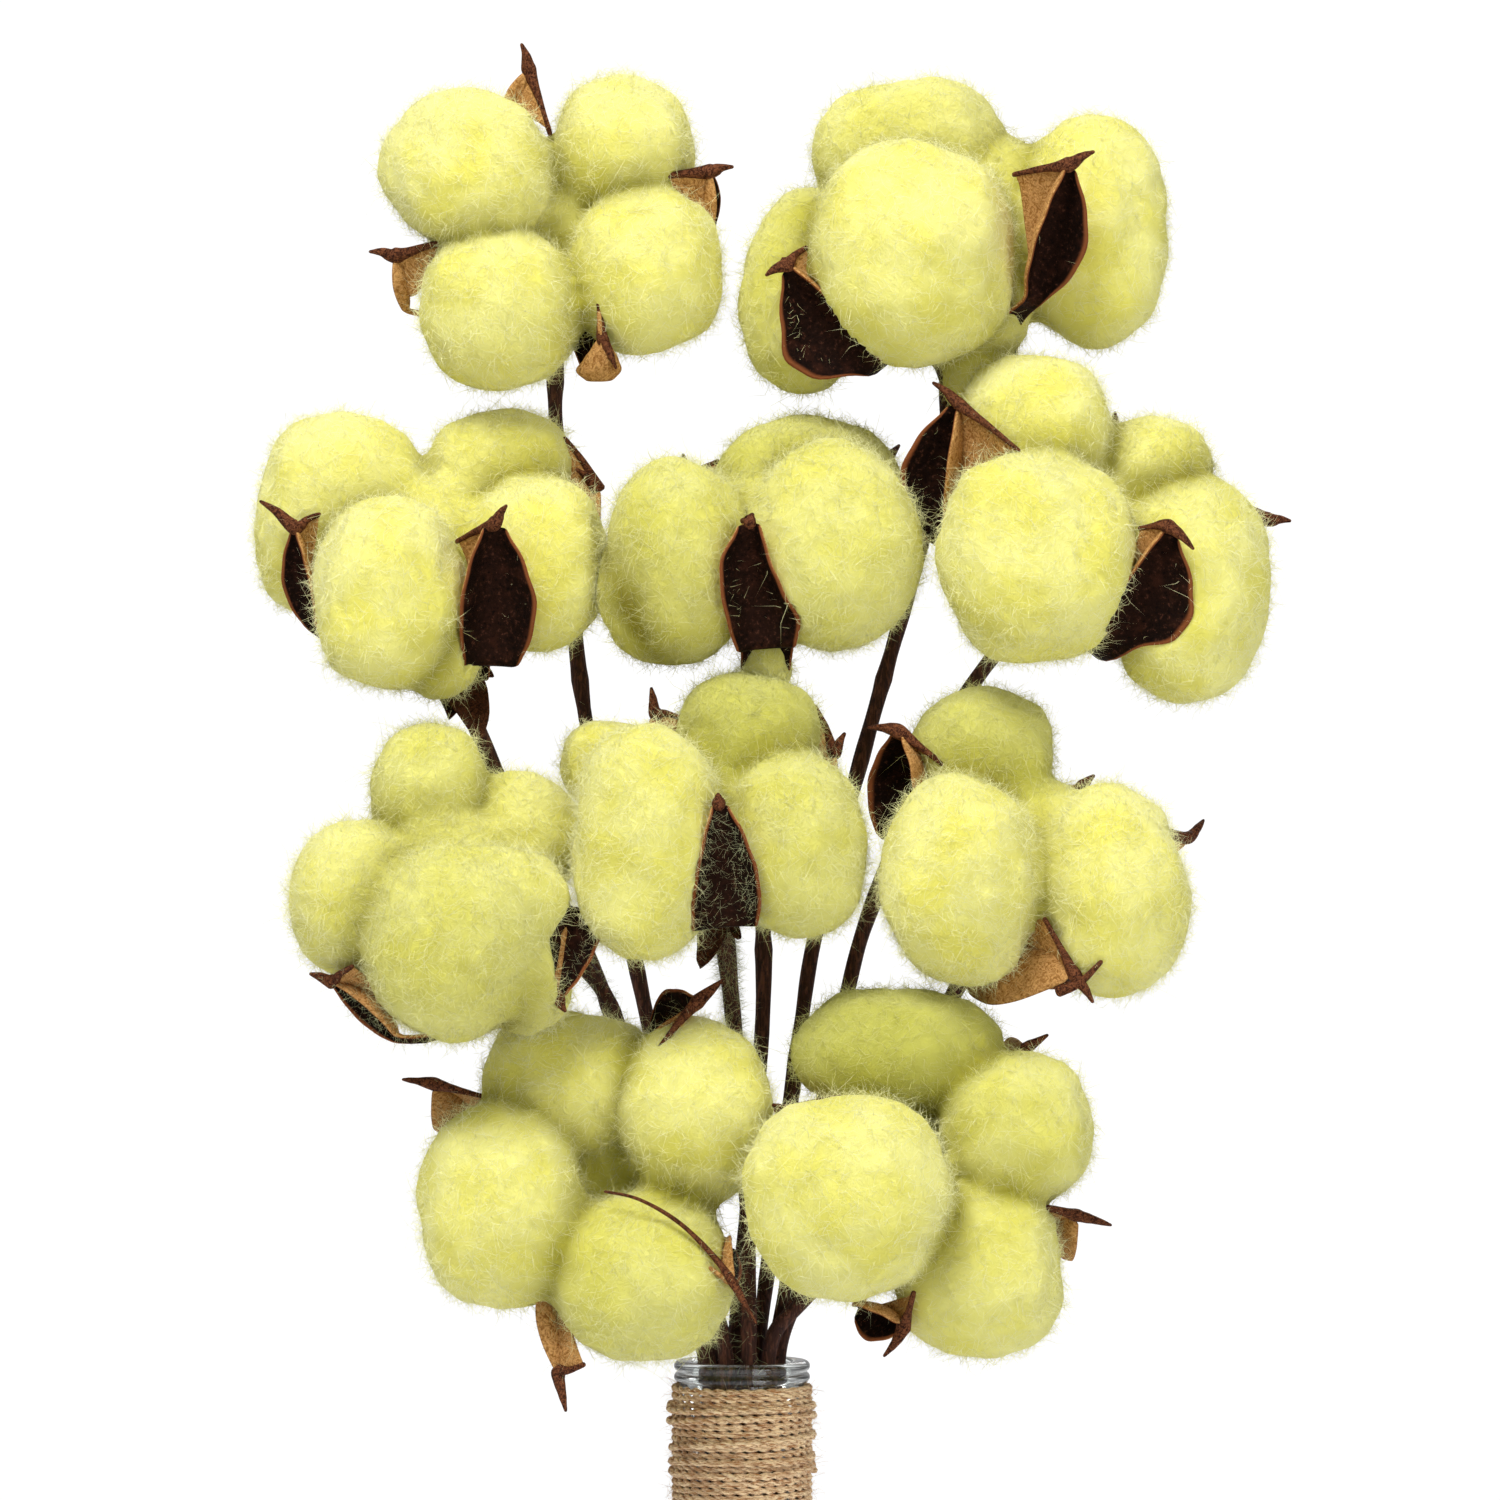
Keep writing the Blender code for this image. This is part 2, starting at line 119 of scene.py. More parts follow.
# One entry for each boll:
#   core       the middle of the cotton
#   base       the direction from the core to the burr's cup
#   slot       the stem's place in the ring, counted from the front right, seen from above
#   locks      (centre), (half width, half depth, half height); the last is the filling between
#   swellings  softer rises on the locks, with no crease round them
#    dye_and_shade  how much deeper some locks are painted, by their place in locks: partly more
#    dye, partly painted shade
#   valves     the burr's valves
#   route      the stem's way from the vase's mouth to the burr
#   scraps     dry bract pieces under the burr: (direction), length
#   lint       fibres caught on the burr, and half as many on the stem
BOLLS = (
    {
        "core": (-37, 10, 449),
        "base": (-0.05, 0.75, -0.65),
        "slot": 5,
        "locks": (
            ((-55, 2, 458), (17, 17, 16)),
            ((-24, 8, 464), (14.5, 16, 14)),
            ((-19, 2, 438), (15.4, 17, 17.3)),
            ((-49, 0, 430), (17.2, 17, 16.2)),
            ((-37, 13, 449), (13, 10, 13)),
        ),
        "dye_and_shade": {},
        "valves": (
            valve((-43, 2, 477), (-44.2, 0, 483.4), low=(-47.6, 4, 470), start=(-38.2, 0, 464.6),
                  face=(-0.6, 0.3, 1), left=4, right=2, depth=1.5, bulge=0.5, neck=(-42.6, 1, 478)),
            valve((-6.4, 3, 457), (-1.6, 2, 458.8), low=(-6.2, 5, 446.5), start=(-20.5, -4, 455.4),
                  face=(1, -0.1, 0), left=1.8, right=6, depth=2, bulge=1, neck=(-6.6, 2, 457.8)),
            valve((-69.6, 3, 440.4), (-74.8, 2, 441.8), low=(-67.4, 6, 430), start=(-54.5, -5, 444),
                  face=(-1, 0.1, -0.2), left=6, right=2, depth=2, bulge=1, neck=(-69.2, 2, 441)),
            valve((-28.2, -5, 423.4), (-25, -6, 417.8), low=(-28, -2, 415.6),
                  start=(-28.6, -8, 431), face=(0, 1, 0.1), left=(2, 4, 3.2, 2, 0.6),
                  right=(3, 5.4, 3.6, 2, 0.6), depth=2.5, bulge=0.5, neck=(-27.8, -6, 424)),
        ),
        "route": ((-20, 12, 292), (-31, 20, 344), (-35, 26, 376), (-38, 31, 408), (-38, 33, 424)),
        "scraps": (((-0.4, 0.4, -1.0), 6),),
        "lint": 40,
    },
    {
        "core": (42, 10, 445),
        "base": (0.0, 0.25, -0.97),
        "slot": 3,
        "locks": (
            ((34, -8, 441), (21, 20, 22.3)),
            ((33, 16, 463), (20, 18, 15)),
            ((70, 10, 446.5), (16, 20, 24)),
            ((52, 14, 457), (11, 12, 9)),
            ((13, 8, 434), (13.5, 18, 20.5)),
            ((46, 6, 428.5), (12, 14, 10.5)),
            ((48, 3, 418), (7, 8, 10)),
            ((42, 12, 445), (18, 18, 18)),
        ),
        "dye_and_shade": {1: 0.15, 4: 0.3},
        "valves": (
            valve((65, -20, 455), (69.6, -22, 460), low=(57.6, -11, 431), start=(53.5, -13, 456),
                  face=(0.45, -0.9, 0), left=5.5, right=6.5, depth=7, bulge=4,
                  neck=(64.4, -21, 457.4)),
            valve((10.5, -11, 436.5), (4.6, -13, 436), low=(27, -9, 419), start=(13, -9, 442),
                  face=(-0.35, -0.93, -0.1), left=(4, 12, 13.5, 8.5, 2), right=2.5, depth=5,
                  bulge=2, neck=(9, -12, 438.4)),
            valve((55, 36, 463), (58, 42, 467)),
            valve((29, 34, 444), (26, 40, 450)),
        ),
        "route": ((11, 10, 280), (15, 11, 306), (24, 13, 340), (33, 15, 372), (41, 16, 402)),
        "scraps": (),
        "lint": 25,
    },
    {
        "core": (-62, 0, 380),
        "base": (0.2, -0.1, -0.97),
        "slot": 6,
        "locks": (
            ((-70, -18, 373), (16, 18, 19.5)),
            ((-41, -6, 379), (15.4, 17, 19)),
            ((-80, 4, 388), (18, 18, 22)),
            ((-48, 8, 398), (15.5, 14, 12.5)),
            ((-59, -14, 361), (9, 10, 9)),
            ((-62, 0, 380), (17, 15, 17)),
        ),
        "dye_and_shade": {},
        "valves": (
            valve((-88.6, -15, 384), (-95.6, -15, 391.4), low=(-85, -10, 366),
                  start=(-83, -12, 389), face=(-0.6, -0.8, 0), left=4.5, right=3, depth=3,
                  bulge=1.5, neck=(-88.4, -15, 386)),
            valve((-49, -27, 384), (-46, -31, 390), low=(-50, -19, 358.5),
                  start=(-56.5, -20, 383), face=(0.1, -0.98, -0.15), left=(5, 6.2, 6.4, 5, 2.2),
                  right=(6, 8.4, 9, 6.6, 2.4), depth=5, bulge=3, neck=(-48.6, -28, 386.4)),
            valve((-29, 4, 393), (-33.4, 2, 398.4)),
            valve((-67, 26, 389), (-70, 32, 397)),
        ),
        "route": ((-16, 7, 254), (-28, 5, 294), (-42, 2, 322), (-52, -1, 344)),
        "scraps": (
            ((0.9, -0.3, -0.6), 9),
            ((0.25, -0.5, -1.0), 22),
            ((-0.05, -0.5, -1.0), 15),
            ((-0.5, -0.4, -0.5), 7),
        ),
        "lint": 60,
    },
    {
        "core": (6, -5, 383),
        "base": (-0.03, 0.3, -0.95),
        "slot": 4,
        "locks": (
            ((-13, -14, 380), (14.2, 18, 21)),
            ((18.5, -14, 382.5), (17.8, 19, 21)),
            ((-17, -12, 374), (12.5, 14, 15)),
            ((13, 6, 395.5), (19, 16, 14)),
            ((5, -9, 360), (5.5, 7, 8)),
            ((6, -5, 383), (15, 14, 16)),
        ),
        "dye_and_shade": {0: 0.3, 1: 0.2, 3: 0.5},
        "valves": (
            valve((1.6, -31, 385.5), (2.2, -32, 388.4), low=(3.6, -22, 361), start=(0, -26, 387),
                  face=(0.05, -0.99, -0.1), left=(4.5, 6, 7, 6.8, 2.4), right=(7, 8.6, 5.4, 3.2, 2),
                  depth=5, bulge=2.5),
            valve((-10, 14, 396), (-12, 20, 402)),
            valve((28, 18, 399), (32, 24, 404)),
        ),
        "route": ((4, 9, 285), (4, 9, 320), (5, 6, 348)),
        "scraps": (((-0.5, -0.5, -0.8), 5),),
        "lint": 40,
    },
    {
        "core": (72, 0, 386),
        "base": (-0.62, 0.4, -0.67),
        "slot": 2,
        "locks": (
            ((58, -20, 380), (19.3, 19, 21)),
            ((59, -8, 407), (15.5, 15, 14)),
            ((82.5, -2, 399), (12, 14, 11)),
            ((88.5, -8, 374), (16.5, 18, 23.7)),
            ((72, 0, 386), (16, 15, 17)),
        ),
        "dye_and_shade": {},
        "valves": (
            valve((41.5, -15, 409), (37.6, -16, 414.8), low=(39.5, -10, 383),
                  start=(54.8, -25, 400.6), face=(-0.6, -0.8, 0), left=9, right=2.5, depth=7,
                  bulge=4, neck=(43, -16, 410.4)),
            valve((83, -27, 382.6), (88.6, -31, 381.2), low=(71.6, -22, 365.6),
                  start=(78, -24, 385.6), face=(0.15, -0.97, -0.15), left=2,
                  right=(7, 13, 13.5, 10, 3), depth=5, bulge=2, neck=(83.4, -28, 386)),
            valve((104, 8, 388.4), (110.4, 7, 388), left=2, right=2, neck=(105.4, 7, 388.4)),
            valve((75, 24, 405), (76, 30, 411)),
        ),
        "route": ((20, 8, 288), (27, 9, 313), (42, 11, 348)),
        "scraps": (((0.2, -0.7, -0.9), 6), ((-0.6, -0.2, -0.8), 6)),
        "lint": 50,
    },
    {
        "core": (-57, -25, 316),
        "base": (0.75, 0.45, -0.45),
        "slot": 8,
        "locks": (
            ((-56.5, -37, 304), (18.5, 19, 20)),
            ((-42, -32, 294), (10, 11, 8.5)),
            ((-76, -28, 312), (13, 16, 16)),
            ((-62, -20, 335), (11.3, 14, 12.5)),
            ((-43, -18, 326), (11.8, 12, 13)),
            ((-57, -25, 316), (14, 14, 15)),
        ),
        "swellings": (
            ((-66, -34, 309), (13, 13.5, 14)),
            ((-48, -36, 312), (14, 13.5, 12)),
            ((-46, -36, 298), (13, 12, 11)),
        ),
        "dye_and_shade": {0: 0.35, 3: 0.3},
        "valves": (
            valve((-79, -36, 296), (-84.4, -37, 298.4), low=(-67, -40, 285.6),
                  start=(-75.5, -42, 300), face=(-0.6, -0.55, -0.6), left=3, right=3, depth=4,
                  bulge=0.5),
            valve((-35.6, -40, 295), (-34.2, -41, 291), low=(-32.6, -36, 311.5),
                  start=(-41, -42, 303), face=(0.25, -0.95, 0), left=(4, 6, 5, 3.4, 1.2),
                  right=(4, 6, 5, 3.4, 1.2), depth=3, bulge=2),
            valve((-60, 4, 332), (-62, 10, 338)),
        ),
        "route": ((-9, -2, 240), (-14, 2, 256), (-22, 1, 279), (-29, -6, 296)),
        "scraps": (((0.7, -0.4, -1.0), 16), ((0.9, -0.3, 0.1), 8), ((1.0, -0.2, -0.6), 10)),
        "lint": 2400,
    },
    {
        "core": (-8, -18, 329),
        "base": (0.2, 0.15, -0.97),
        "slot": 9,
        "locks": (
            ((-18.6, -33, 324), (14.8, 17, 23.7)),
            ((11, -28, 324), (14.3, 17, 18.5)),
            ((1, -16, 345), (15, 15, 11.8)),
            ((-27, -7, 339), (10.5, 11, 9)),
            ((-4, -18, 328), (15, 14, 15)),
        ),
        "dye_and_shade": {0: 0.1, 1: 0.3, 2: 0.75},
        "valves": (
            valve((-4.4, -47, 330.5), (-4.6, -49, 333.6), low=(-3.4, -38, 306.5),
                  start=(-5, -42, 332), face=(0.1, -0.98, -0.15), left=(6.5, 6.5, 5.4, 3.6, 1.4),
                  right=(6.5, 7.5, 7, 5, 1.8), depth=3.5, bulge=2),
            valve((-17, -14, 348), (-18, -14, 354.5), left=4, right=4),
            valve((18, -14, 340), (20.5, -13, 345.5), left=4, right=4),
            valve((-10, 4, 338), (-12, 8, 344)),
        ),
        "route": ((1, -3, 250), (-1, -1, 280)),
        "scraps": (((-0.4, -0.4, -1.0), 13), ((0.5, -0.5, -1.0), 7)),
        "lint": 5200,
    },
    {
        "core": (58, -14, 322),
        "base": (-0.25, 0.8, -0.55),
        "slot": 1,
        "locks": (
            ((43, -28, 317), (16.3, 18, 21.5)),
            ((72.5, -22, 314), (16, 18, 21.5)),
            ((48, -10, 341), (14.8, 15, 12.8)),
            ((58, -14, 322), (15, 14, 15)),
        ),
        "dye_and_shade": {2: 0.6},
        "valves": (
            valve((30, -20, 344), (24.8, -18, 346.4), low=(28.4, -14, 324),
                  start=(40.6, -22, 338.4), face=(-0.75, -0.65, 0.1), left=6, right=9, depth=9,
                  bulge=1, neck=(31, -20, 345.6)),
            valve((64.4, -33, 297), (68.6, -37, 292.6), low=(46, -10, 298), start=(59, -33, 309.4),
                  face=(0, 0.3, -0.95), left=9, right=6, depth=10, bulge=4, neck=(65, -35, 298),
                  prong=((61.4, -34, 294.6), (66, -36, 296.6), (70.4, -37, 301))),
            valve((67, -12, 334), (70, -10, 337), left=4, right=4),
            valve((88, 4, 324), (93, 10, 328)),
        ),
        "route": ((14, 2, 238), (28, 5, 264), (42, 7, 292)),
        "scraps": (),
        "lint": 110,
    },
    {
        "core": (-28, -14, 260),
        "base": (0.1, 0.85, -0.5),
        "slot": 7,
        "locks": (
            ((-34, -16, 276), (18, 16, 15.6)),
            ((-9, -24, 271), (15.6, 15, 19.5)),
            ((-47, -26, 252), (16.7, 17, 21)),
            ((-19, -28, 239), (19, 17, 17.6)),
            ((-28, -11, 260), (12, 9, 12)),
        ),
        "dye_and_shade": {3: 0.3},
        "valves": (
            valve((-61.4, -14, 274.6), (-67.4, -15, 276.8), low=(-58, 4, 268),
                  start=(-50, -20, 273.4), face=(-0.95, -0.2, 0.1), left=1.5, right=5.5,
                  depth=6, bulge=1.5, neck=(-60.6, -15, 275.8)),
            valve((-9.4, -27, 292), (-3.6, -27, 297), low=(-18.6, -16, 284.6),
                  start=(-17, -33, 282.4), face=(-0.6, -0.5, 0.6), left=6, right=5, depth=4,
                  bulge=3),
            valve((-1.6, -42, 238.6), (3, -46, 230.6), low=(-2, -22, 244), start=(-27, -38, 256),
                  face=(0.9, -0.1, 0.3), left=1.5, right=5, depth=4, bulge=1,
                  path=((-20, -41, 254.6), (-12, -42, 250), (-5, -42, 243))),
            valve((-36.4, -28, 221), (-34.4, -32, 212.4), low=(-37.6, -24, 241),
                  start=(-30.6, -34, 222), face=(-0.95, 0.2, 0), left=3.5, right=3.5, depth=3,
                  bulge=2.5, neck=(-36, -29, 220)),
        ),
        "route": ((-14, -2, 234), (-23, 1, 246)),
        "scraps": (),
        "lint": 800,
    },
    {
        "core": (38, -20, 261),
        "base": (-0.1, 0.85, -0.5),
        "slot": 0,
        "locks": (
            ((30, -24, 283), (21, 16, 13.2)),
            ((21, -46, 256), (20.5, 17, 20)),
            ((54, -30, 268), (16, 16, 15)),
            ((46, -32, 241), (17.3, 17, 18)),
            ((38, -17, 261), (13, 10, 13)),
        ),
        "dye_and_shade": {0: 0.85, 1: 0.05, 2: 0.25, 3: 0.1},
        "valves": (
            valve((55.6, -22, 283), (60.4, -23, 286), low=(52, 0, 280), start=(50.6, -28, 278.6),
                  face=(0.7, -0.1, 0.7), left=4.5, right=3, depth=4, bulge=1.5),
            valve((65.8, -29, 249.6), (72.6, -30, 248.8), low=(62, -8, 246),
                  start=(55.6, -36, 253.6), face=(0.95, -0.2, -0.1), left=7, right=1.5, depth=5,
                  bulge=2, neck=(65.6, -30, 250.8)),
            valve((30, -44, 228), (27.4, -47, 224.4), low=(22, -36, 232.4),
                  start=(33.4, -48, 237.4), face=(-0.35, -0.75, -0.6), left=(2, 5, 6, 5, 2),
                  right=3, depth=6, bulge=3, neck=(31.4, -45, 230)),
            valve((9, -36, 271), (6, -41, 273), left=4, right=4),
        ),
        "route": ((12, -5, 232), (27, -3, 247)),
        "scraps": (),
        "lint": 60,
    },
)

# The stems' ring in the bottle, as the frame has it.
STEM_COUNT = 10
STEM_RING = 7.8
STEM_FIRST_ANGLE = 316.0
STEM_FOOT_RING = 26.0
STEM_FOOT_HEIGHT = 7.4
STEM_GATHER_HEIGHT = 138.0
STEM_EXIT_HEIGHT = 223.0
STEM_LAST_RISE = 20.0

# The bottle's outline.
VASE_HEIGHT = 220.0
LIP_RADIUS = 13.6
LIP_HEIGHT = 4.4
NECK_RADIUS = 12.4
NECK_BOTTOM = 150.0
BORE_RADIUS = 9.8
BODY_RADIUS = 36.0
BODY_TOP = 112.0
BASE_RADIUS = 33.0
HEEL = 5.0
FLOOR = 7.0


def linear(code):
    """An sRGB hex colour as linear red, green, blue and full alpha."""
    values = []
    for start in (1, 3, 5):
        level = int(code[start : start + 2], 16) / 255.0
        values.append(level / 12.92 if level <= 0.04045 else ((level + 0.055) / 1.055) ** 2.4)
    return (*values, 1.0)


# ---- settings ------------------------------------------------------------------------------------


def length_setting(name, description, default):
    """A length in metres for the panel."""
    return FloatProperty(name=name, description=description, default=default, unit="LENGTH")


def colour_setting(name, description, code):
    """A colour for the panel, from its six-figure code."""
    return FloatVectorProperty(
        name=name,
        description=description,
        default=linear(code),
        subtype="COLOR",
        size=4,
        min=0.0,
        max=1.0,
    )


class CottonSettings(bpy.types.PropertyGroup):
    """Sizes and colours of the cotton."""

    voxel: length_setting("Detail", "Voxel size that melts the locks together", 0.0012)
    lump_size: length_setting("Lump size", "Width of the soft lumps in a lock", 0.021)
    lump_depth: length_setting("Lump depth", "Height of the soft lumps", 0.0048)
    tuft_size: length_setting("Tuft size", "Width of the small tufts", 0.0048)
    tuft_depth: length_setting("Tuft depth", "Height of the small tufts", 0.0010)
    fibre_count: IntProperty(
        name="Fibres", description="Loose fibres on each boll", default=11000, min=0
    )
    fibre_length: length_setting("Fibre length", "Mean length of a loose fibre", 0.0042)
    fibre_width: length_setting("Fibre width", "Half width of a fibre at its root", 0.00004)
    squareness: FloatProperty(
        name="Squareness",
        description="How boxy the locks are where they press together",
        default=0.08,
        min=0.0,
        max=1.0,
    )
    light: colour_setting("Dyed yellow", "Colour of most of the cotton", "#F3EF96")
    deep: colour_setting("Deeper yellow", "Colour where the dye took more", "#EAE46E")
    # Painted shade in part: the deepest-painted locks take this darker olive, partly for more dye,
    # partly for the shade of the bolls above them.
    strong_dye_and_shade: colour_setting("Strong dye", "Colour of a lock that took the most dye", "#B8B752")
    # Painted shade: the saturated yellow near the creases, for light bounced in the hollows.
    hollow_shade: colour_setting("Hollow", "Colour near the creases", "#D3CD3E")
    loose: colour_setting("Loose fibres", "Colour of the pale loose fibres", "#F7F5BE")
    # Painted shade: the dark olive in the creases between the locks.
    crease_shade: colour_setting("Crease", "Colour between the locks", "#8C8414")


class BurrSettings(bpy.types.PropertyGroup):
    """Sizes and colours of the dried seed cases."""

    thickness: length_setting("Wall", "Thickness of a valve's wall", 0.0009)
    outside: colour_setting("Outside", "Dark outside of a valve", "#140804")
    # Used twice: as a painted highlight along the middle of each valve, and as the real red-brown
    # of weathered blotches.
    middle: colour_setting("Keel", "Redder brown along the middle of a valve", "#47261A")
    speckle: colour_setting("Speckle", "Paler speckle on the outside", "#4A2C20")
    gland: colour_setting("Glands", "Nearly black dots on the outside", "#090302")
    rim: colour_setting("Rim", "Edge of a valve", "#7E4829")
    inside: colour_setting("Inside", "Tan lining of a valve", "#CC9C60")
    inside_dark: colour_setting("Inside streaks", "Dark streaks in the lining", "#86582A")
    beak: colour_setting("Beak", "Woody beak and bar of a valve", "#7A4A30")
    beak_dark: colour_setting("Beak grain", "Dark grain of the beak", "#2A140D")
    lint: colour_setting("Lint", "Fibres caught on the burr", "#C9CC9C")


class StemSettings(bpy.types.PropertyGroup):
    """Sizes and colours of the stems."""

    radius: length_setting("Radius", "Mean radius of a stem", 0.0016)
    bark: colour_setting("Bark", "Colour of the bark", "#34170F")
    ridge: colour_setting("Bark ridges", "Colour of the raised bark", "#6A4030")
    scar: colour_setting("Bark scars", "Colour of the dark scars", "#1E0C07")


class JuteSettings(bpy.types.PropertyGroup):
    """Sizes and colours of the twine."""

    ply_radius: length_setting("Ply radius", "Radius of one of the two plies", 0.00046)
    pitch: length_setting("Pitch", "Height of one turn", 0.00142)
    lay: length_setting("Lay", "Length of one twist of the plies", 0.0054)
    light: colour_setting("Light jute", "Colour of most fibres", "#FFE4B8")
    brown: colour_setting("Brown jute", "Colour of the darker fibres", "#AA723E")


class GlassSettings(bpy.types.PropertyGroup):
    """Colour of the bottle."""

    tint: colour_setting("Tint", "Colour of the clear glass", "#F6FAF8")


# ---- small tools ---------------------------------------------------------------------------------


def deselect():
    """Leave nothing selected."""
    bpy.ops.object.select_all(action="DESELECT")


def select_only(item):
    """Select this object alone and make it active."""
    deselect()
    item.select_set(True)
    bpy.context.view_layer.objects.active = item


def apply_modifiers(item):
    """Apply every modifier on an object, first to last."""
    select_only(item)
    for modifier in list(item.modifiers):
        bpy.ops.object.modifier_apply(modifier=modifier.name)


def join(items, name):
    """Join objects into one with this name."""
    deselect()
    for item in items:
        item.select_set(True)
    bpy.context.view_layer.objects.active = items[0]
    if len(items) > 1:
        bpy.ops.object.join()
    items[0].name = name
    return items[0]


def new_object(name, data):
    """An object at the origin for this mesh, curve, light or camera."""
    item = bpy.data.objects.new(name, data)
    bpy.context.scene.collection.objects.link(item)
    return item


def mesh_object(name, points, faces, edges=()):
    """A mesh object from points and faces, or from points and edges."""
    mesh = bpy.data.meshes.new(name)
    mesh.from_pydata(points, edges, faces)
    return new_object(name, mesh)


def grid_faces(rows, columns, first=0):
    """Quads between rows of points, from the point numbered first."""
    faces = []
    for row in range(rows - 1):
        for column in range(columns - 1):
            corner = first + row * columns + column
            faces.append((corner, corner + 1, corner + columns + 1, corner + columns))
    return faces


def ring_faces(rings, sides):
    """Quads between rings of points."""
    faces = []
    for ring in range(rings - 1):
        for corner in range(sides):
            following = (corner + 1) % sides
            low = ring * sides
            high = low + sides
            faces.append((low + corner, low + following, high + following, high + corner))
    return faces


def weld(item, distance, outward=False):
    """Merge points that lie together, and turn the faces outward if asked."""
    select_only(item)
    bpy.ops.object.mode_set(mode="EDIT")
    bpy.ops.mesh.select_all(action="SELECT")
    bpy.ops.mesh.remove_doubles(threshold=distance)
    if outward:
        bpy.ops.mesh.normals_make_consistent(inside=False)
    bpy.ops.object.mode_set(mode="OBJECT")


def finish_piece(item, material, nodes=()):
    """Give a piece its material, its body and the frame's nodes that it stands for."""
    item.data.materials.clear()
    item.data.materials.append(material)
    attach(item, "root")
    if nodes:
        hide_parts(*nodes)


def write_attribute(mesh, name, values):
    """A number on every vertex."""
    layer = mesh.attributes.get(name) or mesh.attributes.new(name, "FLOAT", "POINT")
    layer.data.foreach_set("value", np.asarray(values, dtype=np.float32))


def read_points(mesh):
    """A mesh's points as rows of x, y and z."""
    points = np.empty(len(mesh.vertices) * 3, dtype=np.float64)
    mesh.vertices.foreach_get("co", points)
    return points.reshape(-1, 3)


def new_material(name):
    """An empty material and its Principled shader."""
    material = bpy.data.materials.new(name)
    material.use_nodes = True
    tree = material.node_tree
    return material, tree, tree.nodes["Principled BSDF"]


def add_node(tree, kind, inputs, **settings):
    """One node with its settings; each input takes a value, or the socket that feeds it."""
    node = tree.nodes.new(kind)
    for name, value in settings.items():
        setattr(node, name, value)
    for name, value in inputs.items():
        if isinstance(value, bpy.types.NodeSocket):
            tree.links.new(value, node.inputs[name])
        else:
            node.inputs[name].default_value = value
    return node


# ---- materials -----------------------------------------------------------------------------------

PLACE = "ShaderNodeTexCoord"
NOISE = "ShaderNodeTexNoise"
MARK = "ShaderNodeAttribute"
RANGE = "ShaderNodeMapRange"
MATH = "ShaderNodeMath"
MIX = "ShaderNodeMix"
BUMP = "ShaderNodeBump"
MAPPING = "ShaderNodeMapping"
SOFT = {"interpolation_type": "SMOOTHSTEP"}
COLOUR = {"data_type": "RGBA"}


def cotton_material(settings):
    """Dyed raw cotton: matt and soft, light passes into it; painted shade darkens the creases
    between the locks.
    """
    material, tree, shader = new_material("dyed_raw_cotton")
    place = add_node(tree, PLACE, {}).outputs["Object"]
    # The dye took unevenly, in patches about 11 mm across.
    noise = add_node(tree, NOISE, {"Vector": place, "Scale": 1.0 / 0.011, "Detail": 3.0})
    patches = add_node(tree, RANGE, {"Value": noise.outputs[0], 1: 0.38, 2: 0.68}, **SOFT)
    dyed = add_node(
        tree, MIX, {0: patches.outputs[0], 6: settings.light, 7: settings.deep}, **COLOUR
    )
    # Single fibres are 0.02 mm: strands of them, 3.5 mm across, are the finest that show.
    inputs = {"Vector": place, "Scale": 1.0 / 0.0035, "Detail": 6.0, "Roughness": 0.78}
    strands = add_node(tree, NOISE, {**inputs, "Distortion": 2.6})
    thin = add_node(
        tree, RANGE, {"Value": strands.outputs[0], 1: 0.34, 2: 0.66, 3: 0.3, 4: 0.0}, **SOFT
    )
    dyed = add_node(tree, MIX, {0: thin.outputs[0], 6: dyed.outputs[2], 7: settings.deep}, **COLOUR)
    # Some locks are painted deeper olive: partly more dye, partly painted shade where the bolls
    # above shade them.
    dye_and_shade = add_node(tree, MARK, {}, attribute_name="dye_and_shade")
    dyed = add_node(
        tree, MIX, {0: dye_and_shade.outputs["Fac"], 6: dyed.outputs[2], 7: settings.strong_dye_and_shade}, **COLOUR
    )
    crease_shade = add_node(tree, MARK, {}, attribute_name="crease_shade").outputs["Fac"]
    # Painted shade: near the creases the yellow is painted deeper and more saturated, standing in
    # for light that has bounced in the hollows and met the dye several times.
    near = add_node(tree, MATH, {0: crease_shade, 1: 0.36}, operation="POWER")
    near = add_node(tree, MATH, {0: near.outputs[0], 1: 0.32}, operation="MULTIPLY")
    hollow_shade = add_node(
        tree, MIX, {0: near.outputs[0], 6: dyed.outputs[2], 7: settings.hollow_shade}, **COLOUR
    )
    # Painted shade: dark olive in the creases between the locks.
    shaded = add_node(tree, MIX, {0: crease_shade, 6: hollow_shade.outputs[2], 7: settings.crease_shade}, **COLOUR)
    tree.links.new(shaded.outputs[2], shader.inputs["Base Color"])
    bump = add_node(tree, BUMP, {"Height": strands.outputs[0], "Distance": 0.0016, "Strength": 0.7})
    tree.links.new(bump.outputs[0], shader.inputs["Normal"])
    shader.inputs["Roughness"].default_value = 0.95
    shader.inputs["Specular IOR Level"].default_value = 0.05
    shader.inputs["Subsurface Weight"].default_value = 0.4
    shader.inputs["Subsurface Radius"].default_value = (1.0, 0.95, 0.5)
    shader.inputs["Subsurface Scale"].default_value = 0.002
    shader.inputs["Sheen Weight"].default_value = 0.15
    shader.inputs["Sheen Roughness"].default_value = 0.5
    return material


